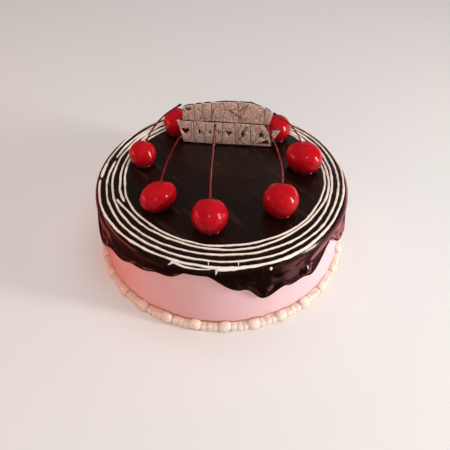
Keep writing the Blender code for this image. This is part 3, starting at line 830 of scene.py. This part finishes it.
def glaze_spot(part, share, turn, column):
    """Radius and height of one row of the glaze at one angle."""
    if part == "top":
        reach = FLAT_RADIUS * share
        spot = polar(reach, turn, 0)
        ripple = noise.noise(spot * per_metre(31)) + 0.5 * noise.noise(spot * per_metre(13) + 5 * UP)
        return reach, GLAZE_TOP + TOP_RIPPLE * ripple
    if part == "rim":
        bend = share * math.pi / 2
        return FLAT_RADIUS + RIM_ROUND * math.sin(bend), RIM_FOOT + RIM_ROUND * math.cos(bend)
    if part == "inner top":
        return 0, INNER_TOP
    if part == "inside":
        return INNER_RADIUS, INNER_TOP if share else column.lowest + column.lip * 0.35
    round_over = column.lip / 2
    roll = LIP_TURN * share
    if part == "lip":
        out = column.lip * (0.5 + 0.5 * math.cos(roll))
        up = round_over * column.slant * (1 - math.sin(roll))
        return SIDE_RADIUS + out, column.lowest + up
    lip_starts = column.lowest + round_over * column.slant
    height = RIM_FOOT + (lip_starts - RIM_FOOT) * share
    out = column.thin + (GLAZE_OVER_CREAM - column.thin) * (1 - from_to(share, 0, 0.5))
    out += (column.lip - column.thin) * from_to(share, 0.76, 1)
    spot = polar(GLAZE_RADIUS, turn, 0.8 * height) * per_metre(15)
    wave = noise.noise(spot) + 0.5 * noise.noise(spot * 2.3 + 4 * UP)
    out += WALL_RELIEF * column.share * wave * math.sin(math.pi * share)
    for angle, below, half_width, half_height, rise in FOLDS:
        along = abs((GLAZE_TOP - height) / MM - below) / half_height
        if along < 1:
            across = hump(math.degrees(turn) + 90, angle, half_width)
            out += rise * MM * across * math.cos(math.pi / 2 * along) ** 2 * (1 - share**6)
    return SIDE_RADIUS + out, height


def glaze_coat(lip_thickness):
    """The glaze: rows turned about Z, then each column shaped by the drip that it is in."""
    rows = [("top", i / TOP_ROWS) for i in range(TOP_ROWS)]
    rows += [("rim", i / RIM_ROWS) for i in range(RIM_ROWS)]
    rows += [("side", i / WALL_ROWS) for i in range(WALL_ROWS)]
    rows += [("lip", i / LIP_ROWS) for i in range(LIP_ROWS + 1)]
    rows += [("inside", 0), ("inside", 1), ("inner top", 0)]
    bm = wrapped_rows(len(rows), GLAZE_STEPS)
    drips = all_drips()
    columns = {}
    for v in bm.verts:
        turn = v.co.x
        part, share = rows[round(v.co.y)]
        if turn not in columns:
            columns[turn] = GlazeColumn(turn, drips, lip_thickness)
        radius, height = glaze_spot(part, share, turn, columns[turn])
        v.co = polar(radius, turn, height)
    bmesh.ops.remove_doubles(bm, verts=bm.verts, dist=1e-6)
    bmesh.ops.recalc_face_normals(bm, faces=bm.faces)
    return bm


# Piping


def line_section(width, height):
    """A line's section as (across, up): a flattened dome on a short foot that sinks into the glaze."""
    dome = [
        (width / 2 * math.cos(t), height * math.sin(t))
        for t in [math.pi * i / (LINE_POINTS - 1) for i in range(LINE_POINTS)]
    ]
    return dome + [(-width / 2, -LINE_SINK), (width / 2, -LINE_SINK)]


def line_step(index, part):
    """What a line does that far along its run in radians: its turn, its distance from the middle, and
    how many times as wide and as high as its section it is."""
    line = LINES[index]
    turn = math.radians(line["start"]) + part
    angle = math.degrees(turn)
    to_start = math.degrees(part)
    to_end = math.degrees(math.radians(line["sweep"]) - part)
    wave, waves, crest = line["wave"]
    reach = line["reach"] + wave * math.cos(math.radians(waves * (angle - crest)))
    reach += line["drift"][0] * math.cos(turn) + line["drift"][1] * math.sin(turn)
    reach += line["pull"][0] * (1 - from_to(to_start, 0, PULL_OVER))
    reach += line["pull"][1] * (1 - from_to(to_end, 0, PULL_OVER))
    reach *= MM
    reach += LINE_WOBBLE * (wander(part, index + 3, 37) + 0.4 * wander(part, index + 9, 110))
    wider = 1 + 0.16 * wander(part, index + 20, 60) + 0.12 * wander(part, index + 30, 190)
    higher = 1 + 0.12 * wander(part, index + 40, 90)
    for smeared, middle, half_width, extra, push in SMEARS:
        if smeared == index:
            share = hump(angle, middle, half_width)
            wider += extra * share * (1 + 0.45 * wander(part, index + 50, 210))
            higher -= 0.25 * share * min(1.0, extra)
            reach += push * MM * share
    tip = min(1.0, min(to_start, to_end) / TAPER_OVER)
    ending = 0.25 + 0.75 * math.sqrt(max(0.0, 1 - (1 - tip) ** 2))
    return turn, reach, wider * ending, higher * ending


def piped_line(index, width, height):
    """One line: its section turned about Z, then laid on the glaze with the hand's waves, its
    smears and its drawn-out ends."""
    bm = bmesh.new()
    rise = bm.verts.layers.float.new("rise")
    run = math.radians(LINES[index]["sweep"])
    base = LINES[index]["reach"] * MM
    section = line_section(width, height)
    bmesh.ops.spin(
        bm, geom=chain(bm, [(base + across, 0, up) for across, up in section], closed=True),
        cent=(0, 0, 0), axis=(0, 0, 1), angle=run, steps=LINE_STEPS, use_merge=False,
        use_duplicate=False,
    )
    bmesh.ops.holes_fill(bm, edges=[e for e in bm.edges if e.is_boundary], sides=len(section))
    bm.verts.index_update()
    steps = [line_step(index, run * i / LINE_STEPS) for i in range(LINE_STEPS + 1)]
    for v in bm.verts:
        turn, reach, wider, higher = steps[v.index // len(section)]
        across = math.hypot(v.co.x, v.co.y) - base
        up = v.co.z
        v[rise] = max(0.0, up / height)
        v.co = on_glaze(reach + across * wider, turn, up * higher if up > 0 else up)
    bmesh.ops.recalc_face_normals(bm, faces=bm.faces)
    return bm


def along_points(points, share):
    """The point that far along a run of points, as a share of their number."""
    spot = share * (len(points) - 1)
    first = min(int(spot), len(points) - 2)
    part = spot - first
    return [a + (b - a) * part for a, b in zip(points[first], points[first + 1])]


def icing_strokes(height):
    """The short strokes that join or leave the lines, and the drop of icing that fell beside them."""
    bm = bmesh.new()
    for points, width in STROKES:
        route = []
        radii = []
        for i in range(STROKE_STEPS + 1):
            share = i / STROKE_STEPS
            reach, angle = along_points(points, share)
            radius = width / 2 * MM * (1 - 0.75 * share**1.5)
            route.append(on_glaze(reach * MM, math.radians(angle), height * 0.5 * (1 - share) - 0.3 * radius))
            radii.append(radius)
        sweep(bm, route, radii, STROKE_SIDES)
    reach, angle, length = ICING_DROP
    ball = bmesh.ops.create_uvsphere(bm, u_segments=20, v_segments=12, radius=1)["verts"]
    centre = on_glaze(reach * MM, math.radians(angle), 0.1 * MM)
    facing = toward(angle).to_track_quat("X", "Z").to_matrix().to_4x4()
    size = Matrix.Diagonal((*DROP_HALF, length / 2 * MM, 1))
    bmesh.ops.transform(bm, matrix=Matrix.Translation(centre) @ facing @ size, verts=ball)
    # Every stroke and the drop are set high on the crest, so they take its near-white, partly painted
    # highlight.
    rise = bm.verts.layers.float.new("rise")
    for v in bm.verts:
        v[rise] = 0.8
    bmesh.ops.recalc_face_normals(bm, faces=bm.faces)
    return bm


# Border


def pearl_places():
    """Each pearl's angle and arc in degrees, and whether it is a large one."""
    large_arc = math.degrees(LARGE_LENGTH / (SIDE_RADIUS + LARGE_PEARL[0] / 2))
    small_arc = (360 / LARGE_PEARLS - large_arc) / SMALL_BETWEEN
    places = []
    for repeat in range(LARGE_PEARLS):
        middle = FIRST_PEARL + repeat * 360 / LARGE_PEARLS
        places.append((middle, large_arc, True))
        edge = middle + large_arc / 2
        for i in range(SMALL_BETWEEN):
            places.append((edge + small_arc * (i + 0.5), small_arc, False))
    return places


def one_pearl(middle, arc, large, rng):
    """One pearl: a ball squashed onto the side and the floor, squarer when it is a small one."""
    bm = bmesh.new()
    joint = bm.verts.layers.float.new("joint")
    reach, height = LARGE_PEARL if large else SMALL_PEARL
    reach *= rng.uniform(0.93, 1.0)
    height *= rng.uniform(0.93, 1.03)
    square = LARGE_SQUARE if large else rng.uniform(*SMALL_SQUARE)
    verts = bmesh.ops.create_uvsphere(bm, u_segments=20, v_segments=12, radius=1)["verts"]
    radial = (reach + PEARL_SINK) / 2
    centre = SIDE_RADIUS + reach - radial
    length = math.radians(arc) * (SIDE_RADIUS + reach / 2) / 2
    length *= LARGE_OVERLAP if large else SMALL_OVERLAP
    lean = rng.uniform(-0.1, 0.1)
    turn = math.radians(middle + rng.uniform(-0.15, 0.15))
    for v in verts:
        v[joint] = abs(v.co.y)
        x, y, z = (math.copysign(abs(c) ** square, c) for c in v.co)
        z = max(z, -PEARL_FLAT)
        above_foot = height * (z + PEARL_FLAT) / (1 + PEARL_FLAT)
        place = Vector((centre + radial * x, length * y + lean * height * z / 2, above_foot))
        v.co = Matrix.Rotation(turn, 3, "Z") @ place
    bmesh.ops.recalc_face_normals(bm, faces=bm.faces)
    return bm


def gathered(parts):
    """Several bmeshes as one, in turn. Each is made on its own, which is quicker."""
    bm = bmesh.new()
    for part in parts:
        mesh = bpy.data.meshes.new("part")
        part.to_mesh(mesh)
        part.free()
        bm.from_mesh(mesh)
        bpy.data.meshes.remove(mesh)
    return bm


def pearl_border():
    """All pearls, each as uneven as a hand pipes them."""
    rng = random.Random(11)
    return gathered([one_pearl(*place, rng) for place in pearl_places()])


# Cherries


def cherry_frame(sizes):
    """A cherry's centre, axis and half width in metres."""
    ring, angle, width, _, (lean_to, lean), _ = sizes
    centre = toward(angle) * ring * MM
    centre.z = GLAZE_TOP + CHERRY_CENTRE * width * MM
    axis = toward(lean_to) * math.sin(math.radians(lean)) + UP * math.cos(math.radians(lean))
    return centre, axis, width * MM / 2


def cherry_fruit(sizes, seed):
    """The fruit: a ball with the stem's dimple, a shallow seam and slight dents, level at its foot."""
    centre, axis, half = cherry_frame(sizes)
    stretch, stretch_to = sizes[3]
    bm = bmesh.new()
    painted_dimple_shade = bm.verts.layers.float.new("painted_dimple_shade")
    bmesh.ops.create_uvsphere(bm, u_segments=FRUIT_FACES[0], v_segments=FRUIT_FACES[1], radius=1)
    for v in bm.verts:
        off_axis = math.hypot(v.co.x, v.co.y)
        near_stem = math.exp(-((off_axis / DIMPLE_WIDTH) ** 2)) if v.co.z > 0 else 0.0
        seam_angle = math.degrees(math.atan2(v.co.y, v.co.x))
        seam = SEAM_DEPTH * hump(seam_angle, 40 + seed * 50, SEAM_HALF) * min(1.0, off_axis * 1.3)
        dents = 0.022 * noise.noise(v.co * 1.6 + seed * UP * 3) + 0.008 * noise.noise(v.co * 4.2 + seed * UP)
        # The dimple's share, which the skin's finish darkens as painted shade.
        v[painted_dimple_shade] = near_stem
        v.co *= 1 - seam + dents
        v.co.z -= DIMPLE_DEPTH * near_stem
    longer = Matrix.Rotation(math.radians(stretch_to), 4, "Z")
    lengthen = longer @ Matrix.Diagonal((half * stretch, half, half, 1)) @ longer.inverted()
    upright = axis.to_track_quat("Z", "Y").to_matrix().to_4x4()
    bmesh.ops.transform(bm, matrix=Matrix.Translation(centre) @ lengthen @ upright, verts=bm.verts)
    cutting = bmesh.ops.bisect_plane(
        bm, geom=[*bm.verts, *bm.edges, *bm.faces], plane_co=(0, 0, GLAZE_TOP - 0.15 * MM),
        plane_no=(0, 0, -1), clear_outer=True,
    )
    rim = [e for e in cutting["geom_cut"] if isinstance(e, bmesh.types.BMEdge)]
    bmesh.ops.contextual_create(bm, geom=rim)
    bmesh.ops.recalc_face_normals(bm, faces=bm.faces)
    return bm


def cherry_stem(sizes, seed, radius):
    """The stem: a bent twig, thicker where it leaves the fruit, with a knob at its tip."""
    centre, axis, half = cherry_frame(sizes)
    tip = Vector(sizes[5]) * MM + UP * (GLAZE_TOP - STEM_DROP)
    base = centre + axis * (half * (1 - 2 * DIMPLE_DEPTH))
    bend = base + axis * (tip - base).length * STEM_BEND
    route = []
    radii = []
    for i in range(STEM_STEPS + 1):
        t = i / STEM_STEPS
        point = base * (1 - t) ** 2 + bend * (2 * t * (1 - t)) + tip * t**2
        sway = Vector((wander(t * 2, seed + 60, 7), wander(t * 2, seed + 70, 7), 0))
        route.append(point + sway * 0.35 * MM * math.sin(math.pi * t))
        thick = 1 + 0.55 * (1 - from_to(t, 0, 0.18)) + 0.75 * from_to(t, 0.93, 0.985)
        radii.append(radius * thick * (1 + 0.07 * wander(t * 3, seed + 80, 30)))
    radii[-1] *= 0.7
    bm = bmesh.new()
    along = bm.verts.layers.float.new("along")
    for i, ring in enumerate(sweep(bm, route, radii, STEM_SIDES)):
        for v in ring:
            v[along] = i / STEM_STEPS
    bmesh.ops.recalc_face_normals(bm, faces=bm.faces)
    return bm


def syrup_fillet(sizes):
    """The glaze drawn up round the foot of one cherry: a small ring with a hollow side."""
    centre, _, half = cherry_frame(sizes)
    stretch, stretch_to = sizes[3]
    lift = (centre.z - GLAZE_TOP) / half
    foot = math.sqrt(1 - lift**2) * half
    top = math.sqrt(1 - (lift - FILLET_HEIGHT / half) ** 2) * half
    curve = [
        (top + (foot + FILLET_REACH - top) * t, FILLET_HEIGHT * (1 - t) ** 2.2)
        for t in [i / FILLET_ROWS for i in range(FILLET_ROWS + 1)]
    ]
    section = [(foot * 0.7, 0.6 * FILLET_HEIGHT), *curve, (foot * 0.7, -0.2 * MM)]
    bm = bmesh.new()
    bmesh.ops.spin(
        bm, geom=chain(bm, [(r, 0, z) for r, z in section], closed=True), cent=(0, 0, 0), axis=(0, 0, 1),
        angle=math.tau, steps=FILLET_STEPS, use_merge=True, use_duplicate=False,
    )
    longer = Matrix.Rotation(math.radians(stretch_to), 4, "Z")
    lengthen = longer @ Matrix.Diagonal((stretch, 1, 1, 1)) @ longer.inverted()
    place = Matrix.Translation((centre.x, centre.y, GLAZE_TOP))
    bmesh.ops.transform(bm, matrix=place @ lengthen, verts=bm.verts)
    bmesh.ops.recalc_face_normals(bm, faces=bm.faces)
    return bm


def glaze_bubbles(count):
    """Small air bubbles that rose in the glaze, most of them near the front right edge."""
    bm = bmesh.new()
    rng = random.Random(5)
    for i in range(count):
        near_edge = i % 2 == 0
        angle = rng.gauss(*EDGE_BUBBLES[0]) if near_edge else rng.uniform(-180, 180)
        reach = rng.uniform(*(EDGE_BUBBLES[1] if near_edge else OTHER_BUBBLES))
        radius = rng.uniform(*BUBBLE_RADIUS) * MM
        place = on_glaze(reach * MM, math.radians(angle), -0.35 * radius)
        ball = bmesh.ops.create_uvsphere(bm, u_segments=12, v_segments=8, radius=radius)["verts"]
        bmesh.ops.translate(bm, vec=place, verts=ball)
    bmesh.ops.recalc_face_normals(bm, faces=bm.faces)
    return bm


# Topper


def tile_edges(row):
    """Where the tiles of a row begin and end, from left to right."""
    tiles, middle, _, _ = row
    edges = [middle - sum(width for width, _ in tiles) * MM / 2]
    for width, _ in tiles:
        edges.append(edges[-1] + width * MM)
    return edges


def row_top(x):
    """Height of the upper row's crown across the plate."""
    edges = tile_edges(UPPER_ROW)
    end, fall = (edges[0], CROWN_FALL[0]) if x < CROWN_AT else (edges[-1], CROWN_FALL[1])
    return UPPER_ROW[3] - fall * ((x - CROWN_AT) / (end - CROWN_AT)) ** 2


def star(points, outer, inner):
    """A star's corners, in turn on an outer and an inner circle; two points make a lozenge."""
    corners = []
    for i in range(2 * points):
        turn = math.pi * i / points + math.pi / 2
        size = inner if i % 2 else outer
        corners.append((size * math.cos(turn), size * math.sin(turn)))
    return corners


def heart(size, points=12):
    """A heart from the usual sine and cosine curve, with its middle at the origin."""
    shape = []
    for i in range(points):
        t = math.tau * i / points
        x = 16 * math.sin(t) ** 3
        y = 13 * math.cos(t) - 5 * math.cos(2 * t) - 2 * math.cos(3 * t) - math.cos(4 * t)
        shape.append((x * size / 16, (y + 2.5) * size / 16))
    return shape


def placed(shape, size, turn, middle):
    """A flat shape sized, turned and moved."""
    cosine, sine = math.cos(turn), math.sin(turn)
    return [
        (middle[0] + size * (x * cosine - y * sine), middle[1] + size * (x * sine + y * cosine))
        for x, y in shape
    ]


def tile_shapes(row, gap, ends):
    """Each tile of a row as an uneven outline that leans like hand-cut card, with its window or two
    slits, in the plate's own plane. The row's ends are given as shifts of their foot and head."""
    cuts = {"heart": heart(1), "lozenge": star(2, 1.35, 0.62), "star": star(5, 1.15, 0.55)}
    tiles, _, low, high = row
    edges = tile_edges(row)
    rng = random.Random(len(edges))
    leans = [rng.uniform(-TILE_LEAN, TILE_LEAN) for _ in edges[2:]]
    joints = [ends[0], *((-lean, lean) for lean in leans), ends[1]]
    shapes = []
    for i, (_, name) in enumerate(tiles):
        left, right = edges[i] + gap / 2, edges[i + 1] - gap / 2
        middle = (left + right) / 2
        tops = [row_top(x) if row is UPPER_ROW else high for x in (right, middle, left)]
        feet = [low + gap / 2 + rng.uniform(0, TILE_UNEVEN) for _ in range(2)]
        heads = [top - gap / 2 - rng.uniform(0, TILE_UNEVEN) for top in tops]
        shapes.append([
            (left + joints[i][0], feet[0]), (right + joints[i + 1][0], feet[1]),
            (right + joints[i + 1][1], heads[0]), (middle, heads[1]), (left + joints[i][1], heads[2]),
        ])
        width = edges[i + 1] - edges[i]
        if name:
            size = min(WINDOW_MOST, WINDOW_SHARE * width)
            shapes.append(placed(cuts[name], size, 0, (middle, (low + high) / 2)))
        slit = [(0, SLIT[0]), (-SLIT[1], 0), (0, -SLIT[0]), (SLIT[1], 0)]
        for side in (-1, 1) if width > WIDE_TILE else ():
            place = (middle + side * 0.32 * width, low + (0.5 - 0.2 * side) * (tops[1] - low))
            shapes.append(placed(slit, 1, rng.uniform(-SLIT_TURN, SLIT_TURN), place))
    return shapes


def topper_shapes(gap):
    """The outlines of all tiles, their windows and the pointed end of the lower row."""
    shapes = tile_shapes(LOWER_ROW, gap, ((LEFT_TAPER, 0), (0, -RIGHT_TAPER)))
    shapes += tile_shapes(UPPER_ROW, gap, ((0, 0), (-UPPER_TAPER, 0)))
    last = tile_edges(LOWER_ROW)[-1] + gap / 2
    foot, tip = FLAG_HEIGHTS
    shapes.append([(last, foot + gap), (last + FLAG_REACH - gap, tip - gap), (last, tip - 2 * gap)])
    return shapes


def topper_place():
    """Where the topper's own plane stands on the glaze, turned and leaning back a little."""
    foot = Vector((*TOPPER_FOOT, GLAZE_TOP + TOPPER_LIFT))
    return (
        Matrix.Translation(foot)
        @ Matrix.Rotation(math.radians(TOPPER_TURN), 4, "Z")
        @ Matrix.Rotation(math.radians(90 - TOPPER_LEAN), 4, "X")
    )


def topper_plate():
    """The plate behind the tiles: the frame's own solid with its edges softened."""
    bm = bmesh.new()
    bm.from_mesh(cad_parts["topper"].data)
    bmesh.ops.remove_doubles(bm, verts=bm.verts, dist=1e-6)
    bmesh.ops.dissolve_limit(bm, angle_limit=math.radians(1), verts=bm.verts, edges=bm.edges)
    sharp = [e for e in bm.edges if len(e.link_faces) == 2 and e.calc_face_angle() > math.radians(25)]
    bmesh.ops.bevel(
        bm, geom=sharp, offset=PLATE_BEVEL, offset_type="OFFSET", segments=2, profile=0.5,
        affect="EDGES", clamp_overlap=True, material=-1,
    )
    return bm


def topper_faces(gap):
    """The glittered tiles, as one flat curve thicker than the plate, so they stand out on both its
    faces, with their windows cut out and their edges bevelled."""
    bm = bmesh.new()
    curve = bpy.data.curves.new("tiles", "CURVE")
    curve.dimensions = "2D"
    curve.fill_mode = "BOTH"
    curve.extrude = TOPPER_THICK / 2 + 0.1 * MM
    curve.bevel_depth = TILE_EDGE
    curve.bevel_resolution = 1
    curve.offset = -TILE_EDGE
    for shape in topper_shapes(gap):
        spline = curve.splines.new("POLY")
        spline.points.add(len(shape) - 1)
        for point, (x, y) in zip(spline.points, shape):
            point.co = (x, y, 0, 1)
        spline.use_cyclic_u = True
    flat = bpy.data.objects.new("tiles", curve)
    bpy.context.scene.collection.objects.link(flat)
    bpy.context.view_layer.update()
    mesh = bpy.data.meshes.new_from_object(flat.evaluated_get(bpy.context.evaluated_depsgraph_get()))
    bm.from_mesh(mesh)
    bpy.data.objects.remove(flat)
    bpy.data.meshes.remove(mesh)
    bmesh.ops.remove_doubles(bm, verts=bm.verts, dist=1e-6)
    bmesh.ops.recalc_face_normals(bm, faces=bm.faces)
    for face in bm.faces:
        # Edge faces take the second finish, a painted edge highlight.
        face.material_index = 0 if abs(face.normal.z) > 0.95 else 1
    bmesh.ops.transform(bm, matrix=topper_place(), verts=bm.verts)
    return bm


# Stage


def area_light(name, angle, elevation, distance, size, watts, colour, mirrored=True):
    """A soft light at a direction in degrees, aimed at the cake; the glaze may mirror it or not."""
    data = bpy.data.lights.new(name, "AREA")
    data.shape = "RECTANGLE"
    data.size, data.size_y = size
    data.energy = watts
    data.color = linear(colour)
    light = bpy.data.objects.new(name, data)
    bpy.context.scene.collection.objects.link(light)
    rise = math.radians(elevation)
    light.location = toward(angle) * math.cos(rise) * distance + UP * math.sin(rise) * distance
    light.rotation_euler = (0.04 * UP - light.location).to_track_quat("-Z", "Y").to_euler()
    light.visible_glossy = mirrored


def studio_world():
    """Dim warm air over the horizon. Below it, where only reflections look because the floor is left
    out of them, a rose glow on the right, a weaker red one on the left and hardly any elsewhere."""
    world = bpy.data.worlds.new("studio")
    world.use_nodes = True
    tree = world.node_tree
    where = add(tree, "ShaderNodeTexCoord").outputs["Generated"]
    patches = add(tree, "ShaderNodeTexNoise", {"Vector": where, "Scale": 3.5, "Detail": 1.0})
    patch = add(
        tree, "ShaderNodeMapRange",
        {"Value": patches, "From Min": 0.42, "From Max": 0.56, "To Min": 0.12, "To Max": 1.0},
    )
    below = shade("#140C0C")
    for side, colour in GLOWS:
        toward_side = add(
            tree, "ShaderNodeVectorMath", {0: where, 1: (0.98 * side, 0.17, 0)}, operation="DOT_PRODUCT"
        )
        glow = add(
            tree, "ShaderNodeMapRange",
            {"Value": toward_side, "From Min": 0.4, "From Max": 0.68, "To Max": patch},
        )
        below = add(tree, "ShaderNodeMix", {0: glow, 6: below, 7: colour}, data_type="RGBA")
    height = add(tree, "ShaderNodeSeparateXYZ", {"Vector": where}).outputs["Z"]
    above = add(tree, "ShaderNodeMapRange", {"Value": height, "From Min": -0.05, "From Max": 0.1})
    air = add(tree, "ShaderNodeMix", {0: above, 6: below, 7: AIR}, data_type="RGBA")
    connect(tree, tree.nodes["Background"], {"Color": air})
    return world


def build_camera():
    """The camera at the height and angle of a person at the table, a little rolled."""
    forward = Vector(CAMERA_TO).normalized()
    right = forward.cross(UP).normalized()
    facing = Matrix((right, right.cross(forward), -forward)).transposed()
    facing = Quaternion(forward, math.radians(-CAMERA_ROLL)).to_matrix() @ facing
    data = bpy.data.cameras.new("camera")
    data.lens = CAMERA_LENS
    data.sensor_width = 36
    data.clip_start = 0.01
    camera = bpy.data.objects.new("camera", data)
    camera.matrix_world = Matrix.Translation(CAMERA_AT) @ facing.to_4x4()
    bpy.context.scene.collection.objects.link(camera)
    bpy.context.scene.camera = camera


class CAKE_OT_cream(bpy.types.Operator):
    """Make the cream-coated body of the cake"""

    bl_idname = "cake.cream"
    bl_label = "Cream body"

    def execute(self, context):
        finish = cream_finish(context.scene.cake_colours)
        finish_piece("cream_body", cream_body(), finish, "cream", "cake")
        return {"FINISHED"}


class CAKE_OT_glaze(bpy.types.Operator):
    """Make the poured glaze with its drips, bubbles and the fillets round the cherries"""

    bl_idname = "cake.glaze"
    bl_label = "Chocolate glaze"

    def execute(self, context):
        sizes = context.scene.cake_sizes
        finish = chocolate_finish(context.scene.cake_colours)
        finish_piece("chocolate_glaze", glaze_coat(sizes.lip_thickness), finish, "chocolate", "glaze")
        fillets = gathered([syrup_fillet(cherry) for cherry in CHERRIES.values()])
        finish_piece("glaze_fillets", fillets, finish, "chocolate")
        finish_piece("glaze_bubbles", glaze_bubbles(sizes.bubbles), finish, "chocolate")
        return {"FINISHED"}


class CAKE_OT_piping(bpy.types.Operator):
    """Pipe the five lines of icing and the strokes beside them"""

    bl_idname = "cake.piping"
    bl_label = "Piped lines"

    def execute(self, context):
        sizes = context.scene.cake_sizes
        finish = icing_finish(context.scene.cake_colours)
        for index in range(len(LINES)):
            bm = piped_line(index, sizes.line_width, sizes.line_height)
            finish_piece(f"piped_line_{index + 1}", bm, finish, "piping", "glaze")
        finish_piece("icing_strokes", icing_strokes(sizes.line_height), finish, "piping")
        return {"FINISHED"}


class CAKE_OT_border(bpy.types.Operator):
    """Pipe the border of pearls at the foot"""

    bl_idname = "cake.border"
    bl_label = "Pearl border"

    def execute(self, context):
        finish = pearl_finish(context.scene.cake_colours)
        finish_piece("pearl_border", pearl_border(), finish, "pearls", "border")
        return {"FINISHED"}


class CAKE_OT_cherries(bpy.types.Operator):
    """Set the seven cherries and their stems"""

    bl_idname = "cake.cherries"
    bl_label = "Cherries"

    def execute(self, context):
        skin = cherry_finish(context.scene.cake_colours)
        bark = stem_finish(context.scene.cake_colours)
        radius = context.scene.cake_sizes.stem_radius
        for seed, (name, sizes) in enumerate(CHERRIES.items()):
            finish_piece(name + "_fruit", cherry_fruit(sizes, seed), skin, "cherry", name)
            finish_piece(name + "_stem", cherry_stem(sizes, seed, radius), bark, "stem", name)
        return {"FINISHED"}


class CAKE_OT_topper(bpy.types.Operator):
    """Make the glittered topper"""

    bl_idname = "cake.topper"
    bl_label = "Topper"

    def execute(self, context):
        colours = context.scene.cake_colours
        plate = glitter_finish("rose_glitter_card", linear("#6E443C"), "#3A1E1A")
        tiles = glitter_finish("silver_glitter_card", colours.glitter, "#86644F")
        backing = finish_piece("topper_plate", topper_plate(), plate, "glitter", "topper")
        backing.data.set_sharp_from_angle(angle=math.radians(35))
        faces = topper_faces(context.scene.cake_sizes.tile_gap)
        front = finish_piece("topper_tiles", faces, tiles, "glitter", "topper")
        # The tiles' edges take a pale painted highlight.
        front.data.materials.append(painted_edge_highlight_finish())
        front.data.set_sharp_from_angle(angle=math.radians(35))
        return {"FINISHED"}


class CAKE_OT_stage(bpy.types.Operator):
    """Set the floor, the soft lights and the camera"""

    bl_idname = "cake.stage"
    bl_label = "Stage"

    def execute(self, context):
        scene = context.scene
        bm = bmesh.new()
        bmesh.ops.create_grid(bm, x_segments=8, y_segments=8, size=FLOOR_HALF)
        bmesh.ops.translate(bm, vec=(0, 0, -FLOOR_GAP), verts=bm.verts)
        mesh = bpy.data.meshes.new("floor")
        bm.to_mesh(mesh)
        bm.free()
        mesh.materials.append(floor_finish(scene.cake_colours))
        floor = bpy.data.objects.new("floor", mesh)
        scene.collection.objects.link(floor)
        floor.visible_glossy = False

        area_light("ceiling", 0, 90, 1.2, (1.4, 1.4), 9.5, "#FFFFFF", mirrored=False)
        area_light("window", -18, 18, 0.8, (0.1, 0.4), 4.4, "#FFFAF6")
        area_light("lamp", -88, 42, 0.8, (0.05, 0.05), 0.4, "#FFFFFF")
        area_light("front_fill", -105, 20, 1.0, (0.6, 0.4), 1.3, "#FFF4EC", mirrored=False)
        area_light("left_warm", 185, 10, 0.8, (0.5, 0.2), 1.6, "#FF8A60")
        area_light("back_fill", 75, 30, 1.0, (0.5, 0.4), 0.25, "#FFE8DC")

        scene.world = studio_world()
        scene.view_settings.view_transform = "Standard"
        build_camera()
        return {"FINISHED"}


class CAKE_PT_panel(bpy.types.Panel):
    """The cake's sizes, colours and steps in the sidebar"""

    bl_label = "Birthday Cake"
    bl_idname = "CAKE_PT_panel"
    bl_space_type = "VIEW_3D"
    bl_region_type = "UI"
    bl_category = "Cake"

    def draw(self, context):
        layout = self.layout
        for group in (context.scene.cake_sizes, context.scene.cake_colours):
            box = layout.box()
            for name in group.__annotations__:
                box.prop(group, name)
        for operator in OPERATORS:
            layout.operator(operator.bl_idname)


OPERATORS = (
    CAKE_OT_cream,
    CAKE_OT_glaze,
    CAKE_OT_piping,
    CAKE_OT_border,
    CAKE_OT_cherries,
    CAKE_OT_topper,
    CAKE_OT_stage,
)
CLASSES = (CakeSizes, CakeColours, *OPERATORS, CAKE_PT_panel)


def register():
    for made in CLASSES:
        bpy.utils.register_class(made)
    bpy.types.Scene.cake_sizes = PointerProperty(type=CakeSizes)
    bpy.types.Scene.cake_colours = PointerProperty(type=CakeColours)


def unregister():
    del bpy.types.Scene.cake_sizes
    del bpy.types.Scene.cake_colours
    for made in reversed(CLASSES):
        bpy.utils.unregister_class(made)


def main():
    register()
    bpy.ops.cake.cream()
    bpy.ops.cake.glaze()
    bpy.ops.cake.piping()
    bpy.ops.cake.border()
    bpy.ops.cake.cherries()
    bpy.ops.cake.topper()
    bpy.ops.cake.stage()


if __name__ == "__main__":
    main()
